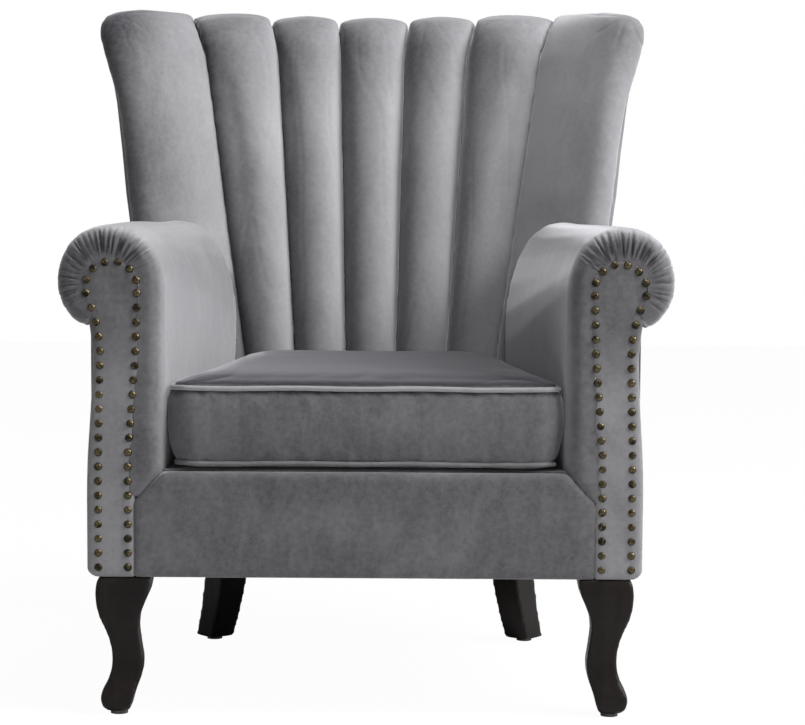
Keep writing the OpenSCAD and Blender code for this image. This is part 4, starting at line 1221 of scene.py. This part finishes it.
@dataclass
class Wing:
    """One padded wing with the panel on its outer side. Lengths in metres."""

    side: Side
    voxel: float = 0.0055
    rounds: int = 14
    tuck_depth: float = 0.0016
    tuck_rate: float = 4.5
    tuck_turn: float = 0.6
    swell: float = 0.0022
    panel_edge: float = 0.0022
    panel_tuck: float = 0.002
    panel_tuck_z: Span = (0.82, 0.885)
    panel_drop: float = 0.3
    flare: float = 0.007
    flare_z: Span = (0.76, 0.86)
    flare_reach: float = 0.05
    wave: float = 0.0016
    wave_scale: Point = (9.0, 9.0, 7.0)
    top_z: float = 0.905
    corner_x: float = 0.36
    tuck_from: Span = (0.006, 0.016)
    tuck_until: Span = (0.03, 0.06)
    tuck_facing: Span = (-0.2, 0.4)
    painted_shade_edge: Span = (0.01, 0.125)
    levels: int = 25
    # Painted shade towards the pad's top, and painted light on the outside panel.
    top_painted_shading: float = 0.35
    painted_top_fade: Span = (0.78, 0.9)
    panel_painted_light: float = 0.5

    def folds(self, points: Rows, normals: Rows) -> Values:
        """How far the pad's cover stands out: slow undulation, less a tuck at the top's outer corner.

        Args:
            points: Points of the pad's cover.
            normals: Their normals.

        Returns:
            Metres along each normal.
        """
        slow = self.swell + clouds(points, self.wave_scale, 2.0 + self.side.value, 1) * self.wave
        out = self.corner_x - points[:, 0] * self.side.value
        rise = self.top_z - points[:, 2]
        turn = np.arctan2(rise, out)
        reach = np.hypot(rise, out)
        rays = 1.0 - np.abs(np.sin(turn * self.tuck_rate + self.tuck_turn))
        near = ease(reach, *self.tuck_from) * (1.0 - ease(reach, *self.tuck_until))
        return slow - rays**4 * self.tuck_depth * near * ease(-normals[:, 1], *self.tuck_facing)

    def inward(self, points: Rows) -> Values:
        """Distance of each point from the pad's outer edge at the point's own height.

        Args:
            points: Points of the pad's cover.

        Returns:
            Metres inwards from the edge for each point.
        """
        out = points[:, 0] * self.side.value
        levels = np.linspace(points[:, 2].min(), points[:, 2].max(), self.levels)
        nearest = np.clip(np.searchsorted(levels, points[:, 2]) - 1, 0, len(levels) - 2)
        edge = np.array([out[nearest == level].max(initial=0.0) for level in range(len(levels) - 1)])
        return np.interp(points[:, 2], (levels[1:] + levels[:-1]) / 2, edge) - out

    def nap(self, points: Rows, _: Rows) -> Values:
        """Painted shade on the pad: darker towards the wing's outer edge and its top.

        Args:
            points: Points of the pad's cover.
            _: Their normals, not used.

        Returns:
            The painted light and shade at each point.
        """
        outer = 1.0 - ease(self.inward(points), *self.painted_shade_edge)
        top = self.top_painted_shading * ease(points[:, 2], *self.painted_top_fade)
        rest, fall = WING_PAINTED_LIGHT[self.side]
        return rest - fall * outer - top

    def build(self, craft: Craft) -> None:
        """Makes the pad, flared at its top, and the panel, drawn in at its top.

        Args:
            craft: The shared mesh work.
        """
        word = self.side.word
        pad = craft.soft(f"{word}_wing_pad", f"{word}_wing_cover", self.voxel, self.rounds)
        craft.refine(pad)
        craft.push(pad, self.folds)
        points = craft.points(pad)
        edge = 1.0 - ease(self.inward(points), 0.0, self.flare_reach)
        share = ease(points[:, 2], *self.flare_z) * edge
        points[:, 0] += self.side.value * self.flare * share
        craft.place(pad, points)
        craft.finish(pad, [f"{word}_wing_pad"], fill=0.9, nap=self.nap)
        node = f"{word}_outside_wing"
        panel = craft.taut(node, node + "_cover", self.panel_edge)
        points = craft.points(panel)
        inward = ease(points[:, 2], *self.panel_tuck_z) * self.panel_tuck
        points[:, 0] -= self.side.value * inward
        points[:, 2] -= self.panel_drop * inward
        craft.place(panel, points)
        craft.finish(panel, [node], fill=1.0, nap=self.panel_painted_light)


@dataclass
class Arm:
    """One rolled arm: pad, gathers round its front, keyhole facing, panel, nails. Lengths in metres."""

    side: Side
    voxel: float = 0.005
    facing_voxel: float = 0.0035
    end_voxel: float = 0.003
    roll_x: float = 0.324
    roll_z: float = 0.548
    roll_radius: float = 0.062
    front_y: float = -0.3665
    pleats: int = 27
    first_pleat: float = -0.6
    pleat_sweep: float = 3.4
    pleat_jitter: float = 0.4
    pleat_width: Span = (0.018, 0.04)
    pleat_length: Span = (0.01, 0.045)
    pleat_lean: Span = (3.0, 2.0)
    pleat_strength: Span = (0.4, 1.0)
    pleat_rise: float = 0.2
    pleat_pivot: float = 0.05
    pleat_low: float = 0.45
    rim_loss: float = 0.6
    pleat_rim: Span = (0.044, 0.064)
    pleat_hub: Span = (0.03, 0.04)
    pleat_depth: float = 0.004
    pleat_reach: float = 0.05
    lap: float = 0.006
    lap_gap: float = 0.002
    lap_near: float = 0.008
    lap_reach: float = 0.022
    lap_depth: float = 0.014
    lap_rise: float = 0.3
    crest: float = 0.006
    crest_rise: float = 0.8
    crest_y: Span = (0.1, 0.45)
    swell: float = 0.0032
    wave: float = 0.0014
    wave_scale: Point = (8.0, 5.0, 9.0)
    lip: float = 0.0055
    waist: float = 0.0052
    waist_z: Span = (0.27, 0.45)
    proud: float = 0.0012
    face_scale: Point = (20.0, 20.0, 14.0)
    flat_facing: Span = (0.5, 0.95)
    corner: float = 0.012
    wrap_x: Span = (0.325, 0.343)
    wrap_z: Span = (0.488, 0.503)
    tip: float = 0.0045
    tip_z: float = 0.274
    tip_height: float = 0.03
    tip_y: Span = (0.012, 0.03)
    panel_edge: float = 0.0022
    panel_back: float = 0.0115
    panel_front: float = 0.012
    panel_waist_y: Span = (0.1, 0.4)
    panel_corner_y: Span = (0.02, 0.06)
    # Painted light on the roll's top, the facing, the panel and the rear end; painted shade round the front,
    # in the gathers and round the facing's head.
    rest_painted_light: float = 0.15
    top_painted_shading: float = 0.75
    painted_top_facing: Span = (0.25, 0.9)
    front_painted_shade: float = 0.4
    front_facing: Span = (0.3, 0.9)
    gather_painted_shade: float = 0.9
    facing_painted_light: float = 0.32
    head_painted_shade: float = 0.55
    painted_head_z: Span = (0.4, 0.5)
    panel_painted_light: float = 0.4
    end_painted_light: float = 0.3
    cap_from_y: float = 0.0
    cap_from_z: float = 0.46
    cap_span: Span = (0.001, 0.012)
    cap_share: Point = (0.97, 1.0, 0.97)
    dome_segments: int = 14
    dome_rings: int = 10
    shank_sides: int = 6
    nail_width: float = 0.0106
    nail_height: float = 0.0042
    shank: float = 0.016
    shank_radius: Span = (0.0003, 0.0008)

    def gathers(self, points: Rows) -> Values:
        """Draws the cover's gathers behind the facing, each with its own width, length and lean.

        Args:
            points: The cover's points.

        Returns:
            Share of the full depth at each point.
        """
        dx = points[:, 0] * self.side.value - self.roll_x
        dz = points[:, 2] - self.roll_z
        turn = np.arctan2(dz, dx)
        behind = points[:, 1] - self.front_y
        reach = np.hypot(dx, dz)
        draw = np.random.default_rng(11 + self.side.value)
        result = np.zeros(len(points))
        for number in range(self.pleats):
            place = number + draw.uniform(-self.pleat_jitter, self.pleat_jitter)
            angle = self.first_pleat + self.pleat_sweep * place / self.pleats
            width, length = draw.uniform(*self.pleat_width), draw.uniform(*self.pleat_length)
            back, round_roll = (draw.uniform(-most, most) for most in self.pleat_lean)
            lean = angle + back * behind + round_roll * (reach - self.pleat_pivot)
            rim = 1.0 - self.rim_loss * ease(reach, *self.pleat_rim)
            fade = (1.0 - ease(behind, self.pleat_rise * length, length)) * rim
            high = self.pleat_low + (1.0 - self.pleat_low) * math.sin(min(max(angle, 0.0), math.pi))
            strength = draw.uniform(*self.pleat_strength)
            groove = np.exp(-(((turn - lean) / width) ** 2)) * fade * high * strength
            result = np.maximum(result, groove)
        return result * ease(reach, *self.pleat_hub)

    def folds(self, points: Rows, _: Rows) -> Values:
        """How far the arm's cover stands out: slow undulation, less the gathers."""
        slow = self.swell + clouds(points, self.wave_scale, 6.0 + self.side.value, 1) * self.wave
        return slow - self.gathers(points) * self.pleat_depth

    def fullness(self, points: Rows) -> Values:
        """How much higher the roll's crest stands towards its front.

        Args:
            points: The cover's points.

        Returns:
            Metres upwards for each point.
        """
        front = 1.0 - ease(points[:, 1] - self.front_y, *self.crest_y)
        top = self.roll_z + self.crest_rise * self.roll_radius
        return self.crest * front * ease(points[:, 2], self.roll_z, top)

    def lowered(self, points: Rows) -> Values:
        """How far the pad's lowest front tip is pressed down, to close the mitre with the border."""
        low = 1.0 - ease(points[:, 2], self.tip_z, self.tip_z + self.tip_height)
        return self.tip * low * (1.0 - ease(points[:, 1] - self.front_y, *self.tip_y))

    def lapped(self, craft: Craft, points: Rows) -> Rows:
        """Draws the pad's front rim over the facing's edge, up to the nails.

        Args:
            craft: The shared mesh work.
            points: The pad's points.

        Returns:
            The points in their new places.
        """
        tree = lookup((place.x, 0.0, place.z) for place in self.nail_places(craft))
        result = points.copy()
        behind = points[:, 1] - self.front_y
        for index in np.nonzero(behind < self.lap_depth)[0]:
            x, y, z = points[index]
            pairs = tree.find_n((x, 0.0, z), 2)
            share = pairs[1][2] / (pairs[0][2] + pairs[1][2])
            target = pairs[0][0] * share + pairs[1][0] * (1.0 - share)
            way = np.array((target.x - x, target.z - z))
            length = float(np.hypot(*way))
            near = 1.0 - ease(np.array([length]), self.lap_near, self.lap_reach)[0]
            rise = self.lap_rise * self.lap_depth
            front = 1.0 - ease(np.array([behind[index]]), rise, self.lap_depth)[0]
            moved = min(max(length - self.lap_gap, 0.0), self.lap) * near * front
            result[index, 0] += way[0] / max(length, 1e-6) * moved
            result[index, 2] += way[1] / max(length, 1e-6) * moved
            result[index, 1] += (self.front_y - self.proud - y) * near * front
        return result

    def fine_front(self, pad: Piece) -> None:
        """Divides the faces round the roll's front once more, for the gathers.

        Args:
            pad: The arm's cover.
        """
        rear, foot = self.front_y + self.pleat_reach, self.roll_z - self.roll_radius
        with editing(pad.data, pad.data) as work:
            near = {vert for vert in work.verts if vert.co.y < rear and vert.co.z > foot}
            edges = [edge for edge in work.edges if edge.verts[0] in near and edge.verts[1] in near]
            bmesh.ops.subdivide_edges(work, edges=edges, cuts=1, use_grid_fill=True)

    def nap(self, points: Rows, normals: Rows) -> Values:
        """Painted light and shade: palest on top of the roll, painted shade round its front and in the
        gathers.

        Args:
            points: Points of the arm's cover.
            normals: Their normals.

        Returns:
            The painted light and shade at each point.
        """
        top = self.rest_painted_light + self.top_painted_shading * ease(normals[:, 2], *self.painted_top_facing)
        painted_top_and_front = top - self.front_painted_shade * ease(-normals[:, 1], *self.front_facing)
        return painted_top_and_front - self.gather_painted_shade * self.gathers(points)

    def face_painted_shading(self, points: Rows, _: Rows) -> Values:
        """Painted shade on the facing: darker round its head."""
        return self.facing_painted_light - self.head_painted_shade * ease(points[:, 2], *self.painted_head_z)

    def crown(self, points: Rows, normals: Rows) -> Values:
        """How far the facing's face stands proud of its edge."""
        front = ease(-normals[:, 1], *self.flat_facing)
        return self.proud + front * self.proud * clouds(points, self.face_scale, 4.0)

    def corner_cut(self, points: Rows) -> Values:
        """How far the rounding of the lower corner takes each point in."""
        drop = np.clip(1.0 - (points[:, 2] - points[:, 2].min()) / self.corner, 0.0, 1.0)
        return self.corner * (1.0 - np.sqrt(np.clip(1.0 - drop**2, 0.0, 1.0)))

    def wrap(self, craft: Craft, facing: Piece) -> None:
        """Draws the facing's straight part out over the side's edge and rounds its lower corner.

        Args:
            craft: The shared mesh work.
            facing: The facing's cover.
        """
        points = craft.points(facing)
        out = points[:, 0] * self.side.value
        outer = ease(out, *self.wrap_x) * (1.0 - ease(points[:, 2], *self.wrap_z))
        lip = self.lip - self.waist * ease(points[:, 2], *self.waist_z)
        points[:, 0] += self.side.value * outer * (lip - self.corner_cut(points))
        craft.place(facing, points)

    def build(self, craft: Craft) -> None:
        """Makes the pad, the facing, the outside panel, the roll's rear end and the nails.

        Args:
            craft: The shared mesh work.
        """
        word = self.side.word
        pad = craft.soft(f"{word}_arm_pad", f"{word}_arm_cover", self.voxel, 4)
        craft.refine(pad)
        self.fine_front(pad)
        craft.push(pad, self.folds)
        points = self.lapped(craft, craft.points(pad))
        points[:, 2] += self.fullness(points) - self.lowered(points)
        craft.place(pad, points)
        craft.finish(pad, [f"{word}_arm_pad"], fill=0.9, nap=self.nap)
        facing = craft.soft(f"{word}_arm_facing", f"{word}_facing_cover", self.facing_voxel, 3)
        craft.push(facing, self.crown)
        self.wrap(craft, facing)
        craft.finish(facing, [f"{word}_arm_facing"], fill=1.0, nap=self.face_painted_shading)
        panel = craft.taut(f"{word}_outside_arm", f"{word}_outside_arm_cover", self.panel_edge)
        points = craft.points(panel)
        behind = points[:, 1] - self.front_y
        points[:, 1] += self.panel_back * (1.0 - ease(behind, 0.0, self.panel_front))
        waist = (self.waist + 0.001) * ease(points[:, 2], *self.waist_z)
        drawn = waist * (1.0 - ease(behind, *self.panel_waist_y))
        cut = self.corner_cut(points) * (1.0 - ease(behind, *self.panel_corner_y))
        points[:, 0] -= self.side.value * (drawn + cut)
        craft.place(panel, points)
        craft.finish(panel, [f"{word}_outside_arm"], fill=1.0, nap=self.panel_painted_light)
        craft.finish(self.end_cap(craft), [], fill=1.0, nap=self.end_painted_light)
        craft.finish(self.nails(craft), [f"{word}_arm_nails"], "nail_brass")

    def end_cap(self, craft: Craft) -> Piece:
        """Makes the cover's rear end, which closes the roll against the wing.

        Args:
            craft: The shared mesh work.

        Returns:
            The piece, without material or parent.
        """
        name = f"{self.side.word}_arm_end_cover"
        pad = craft.merged(f"{self.side.word}_arm_pad", name)
        points = craft.points(pad)
        rear = points[(points[:, 1] > self.cap_from_y) & (points[:, 2] > self.cap_from_z)]
        middle = rear.mean(axis=0)
        rim = middle + (rear - middle) * np.array(self.cap_share)
        work = bmesh.new()
        for before in self.cap_span:
            for point in rim - np.array((0.0, before, 0.0)):
                work.verts.new(point)
        hull = bmesh.ops.convex_hull(work, input=work.verts)
        loose = [item for item in hull["geom_interior"] if isinstance(item, bmesh.types.BMVert)]
        bmesh.ops.delete(work, geom=loose, context="VERTS")
        bmesh.ops.recalc_face_normals(work, faces=work.faces)
        work.to_mesh(pad.data)
        work.free()
        craft.modify(pad, "REMESH", mode="VOXEL", voxel_size=self.end_voxel)
        craft.smooth(pad, 3)
        return pad

    def nail_places(self, craft: Craft) -> list[Vector]:
        """The middle of each nail's head, read from the frame's nails.

        Args:
            craft: The shared mesh work.

        Returns:
            One place for each nail.
        """
        work = bmesh.new()
        work.from_mesh(craft.nodes[f"{self.side.word}_arm_nails"].data)
        bmesh.ops.remove_doubles(work, verts=work.verts, dist=WELD)
        places = []
        for part in craft.islands(work):
            low, high = craft.span(part)
            places.append(Vector(((low[0] + high[0]) / 2, self.front_y, (low[2] + high[2]) / 2)))
        work.free()
        return places

    def nails(self, craft: Craft) -> Piece:
        """Makes the row of nails by Geometry Nodes, a domed head with a shank for each place.

        Args:
            craft: The shared mesh work.

        Returns:
            The piece, without a parent.
        """
        tree = NodeMaker("nail_row")
        width = tree.size("Head width", self.nail_width)
        thickness = tree.size("Head thickness", 2.0 * self.nail_height)
        shank = tree.size("Shank length", self.shank)
        ball = {"Segments": self.dome_segments, "Rings": self.dome_rings, "Radius": 0.5}
        dome = tree.node("GeometryNodeMeshUVSphere", ball)
        stretch = tree.node("ShaderNodeCombineXYZ", {"X": width, "Y": width, "Z": thickness})
        head = tree.node("GeometryNodeTransform", {"Geometry": dome["Mesh"], "Scale": stretch["Vector"]})
        narrow, wide = self.shank_radius
        cone = {"Vertices": self.shank_sides, "Radius Top": narrow, "Radius Bottom": wide, "Depth": shank}
        pin = tree.node("GeometryNodeMeshCone", cone)
        flip = {"Geometry": pin["Mesh"], "Rotation": (math.pi, 0.0, 0.0)}
        down = tree.node("GeometryNodeTransform", flip)
        both = tree.joined(head["Geometry"], down["Geometry"])
        turn = {"Geometry": both, "Rotation": (math.pi / 2, 0.0, 0.0)}
        upright = tree.node("GeometryNodeTransform", turn)
        spread = {"Points": tree.source, "Instance": upright["Geometry"]}
        nails = tree.node("GeometryNodeInstanceOnPoints", spread)
        name = f"{self.side.word}_nail_heads"
        return tree.grow(craft, name, self.nail_places(craft), nails["Instances"], "nail_brass")


@dataclass
class Base:
    """Border under the cushion, covers of the deck, outside back, and the lining below. In metres."""

    voxel: float = 0.0045
    swell: float = 0.0022
    wave: float = 0.0014
    wave_scale: Point = (13.0, 8.0, 7.0)
    front_facing: Span = (0.2, 0.8)
    # Painted shade that darkens the front border.
    border_painted_light: float = -0.3
    edge: float = 0.002
    lining_edge: float = 0.0003

    def folds(self, points: Rows, normals: Rows) -> Values:
        """How far the border's cover stands out: a slow undulation of its front."""
        front = ease(-normals[:, 1], *self.front_facing)
        return self.swell + front * clouds(points, self.wave_scale, 8.0, 1) * self.wave

    def build(self, craft: Craft) -> None:
        """Makes each cover of the base.

        Args:
            craft: The shared mesh work.
        """
        border = craft.soft("front_border", "front_border_cover", self.voxel, 3)
        craft.refine(border)
        craft.push(border, self.folds)
        craft.finish(border, ["front_border"], fill=0.9, nap=self.border_painted_light)
        for node in ("outside_back", "deck_cover"):
            craft.finish(craft.taut(node, node + "_velvet", self.edge), [node], fill=1.0)
        lining = craft.taut("dust_cover", "dust_cover_cambric", self.lining_edge)
        craft.finish(lining, ["dust_cover"], "black_lining")


@dataclass
class Legs:
    """Two cabriole legs in front and two sabre legs behind, softened as carved and sanded wood."""

    voxel: float = 0.003
    rounds: int = 4
    names: tuple[str, ...] = ("front_left_leg", "front_right_leg", "rear_left_leg", "rear_right_leg")

    def build(self, craft: Craft) -> None:
        """Makes every leg.

        Args:
            craft: The shared mesh work.
        """
        for node in self.names:
            leg = craft.soft(node, node + "_stained", self.voxel, self.rounds)
            craft.finish(leg, [node], "leg_wood")


@dataclass
class Studio:
    """Pale floor, white surroundings, soft lamps and the photograph's camera."""

    camera_place: Point = (0.0442, -3.56, 0.71)
    pitch_down: float = 4.66
    roll: float = -0.35
    lens: float = 115.0
    aim: Point = (0.0, 0.0, 0.45)
    world_light: float = 0.19
    floor_half: float = 6.0
    floor_white: float = 0.97
    lamps: dict[str, tuple[Point, float, float]] = field(
        default_factory=lambda: {
            "key": ((2.9, -1.1, 2.5), 2.3, 240.0),
            "fill": ((-2.6, -3.2, 1.5), 2.4, 11.0),
            "top": ((0.5, -0.7, 3.2), 1.0, 66.0),
        }
    )

    def camera(self) -> None:
        """Places the camera."""
        lens = bpy.data.cameras.new("camera")
        lens.lens = self.lens
        lens.sensor_width = 36.0
        holder = placed("camera", lens)
        holder.location = self.camera_place
        holder.rotation_euler = (math.radians(90.0 - self.pitch_down), math.radians(self.roll), 0.0)
        bpy.context.scene.camera = holder

    def lights(self) -> None:
        """Places the lamps, each turned to the middle of the chair."""
        for name, (place, size, power) in self.lamps.items():
            lamp = bpy.data.lights.new(name, "AREA")
            lamp.shape = "DISK"
            lamp.size = size
            lamp.energy = power
            holder = placed(name, lamp)
            holder.location = place
            toward = Vector(self.aim) - Vector(place)
            holder.rotation_euler = toward.to_track_quat("-Z", "Y").to_euler()

    def surroundings(self) -> None:
        """Sets a plain world that the lens and mirror-like surfaces see as white."""
        world = bpy.data.worlds.new("studio")
        bpy.context.scene.world = world
        world.use_nodes = True
        tree = world.node_tree
        tree.nodes.clear()
        ray = add_node(tree, "ShaderNodeLightPath", {}, {}).outputs
        rays = {0: ray["Is Camera Ray"], 1: ray["Is Glossy Ray"]}
        seen = add_node(tree, "ShaderNodeMath", {"operation": "MAXIMUM"}, rays)
        blend = add_node(tree, "ShaderNodeMixShader", {}, {"Fac": seen.outputs[0]})
        for index, strength in ((1, self.world_light), (2, 1.0)):
            light = {"Strength": strength, "Color": (1.0, 1.0, 1.0, 1.0)}
            background = add_node(tree, "ShaderNodeBackground", {}, light)
            tree.links.new(background.outputs[0], blend.inputs[index])
        add_node(tree, "ShaderNodeOutputWorld", {}, {"Surface": blend.outputs[0]})

    def floor(self) -> None:
        """Lays the floor, which the lens sees as white and which keeps a faint shadow for the rest."""
        mesh = bpy.data.meshes.new("floor")
        half = self.floor_half
        rim = [(-half, -half, 0.0), (half, -half, 0.0), (half, half, 0.0), (-half, half, 0.0)]
        mesh.from_pydata(rim, [], [(0, 1, 2, 3)])
        floor = placed("floor", mesh)
        shade = Shade("floor")
        shade.constant(Base_Color=(0.86, 0.86, 0.86, 1.0), Roughness=0.9)
        glow = shade.node("ShaderNodeEmission", {}, {"Color": (1.0, 1.0, 1.0, 1.0), "Strength": 1.0})
        seen = shade.node("ShaderNodeLightPath", {}, {})["Is Camera Ray"]
        sides = {"Fac": seen * self.floor_white, 1: shade.shader.outputs[0], 2: glow[0]}
        blend = shade.node("ShaderNodeMixShader", {}, sides)[0]
        output = shade.tree.nodes["Material Output"]
        shade.tree.links.new(blend.socket, output.inputs["Surface"])
        mesh.materials.append(shade.material)
        floor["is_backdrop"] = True

    def build(self) -> None:
        """Sets up the whole studio."""
        bpy.context.scene.view_settings.view_transform = "Standard"
        self.camera()
        self.lights()
        self.surroundings()
        self.floor()


def corners(box: tuple) -> list[list[float]]:
    """The lowest and highest corner of a box as plain lists."""
    return [[float(value) for value in corner] for corner in box]


def main() -> None:
    """Dresses the chair, piece by piece."""
    logging.basicConfig(level=logging.INFO, format="%(name)s: %(message)s")
    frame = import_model()
    solids_box = corners(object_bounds())
    finishes = Finishes()
    for part in frame["record"]["subparts"]:
        finishes.dress(frame["nodes"][part["node"]], part["material_slot"])
    craft = Craft(frame, finishes)
    Studio().build()
    for side in Side:
        Wing(side).build(craft)
        Arm(side).build(craft)
    ChannelledBack().build(craft)
    SeatCushion().build(craft)
    Base().build(craft)
    Legs().build(craft)
    {"cad": solids_box, "visual": corners(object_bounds())}


if __name__ == "__main__":
    main()
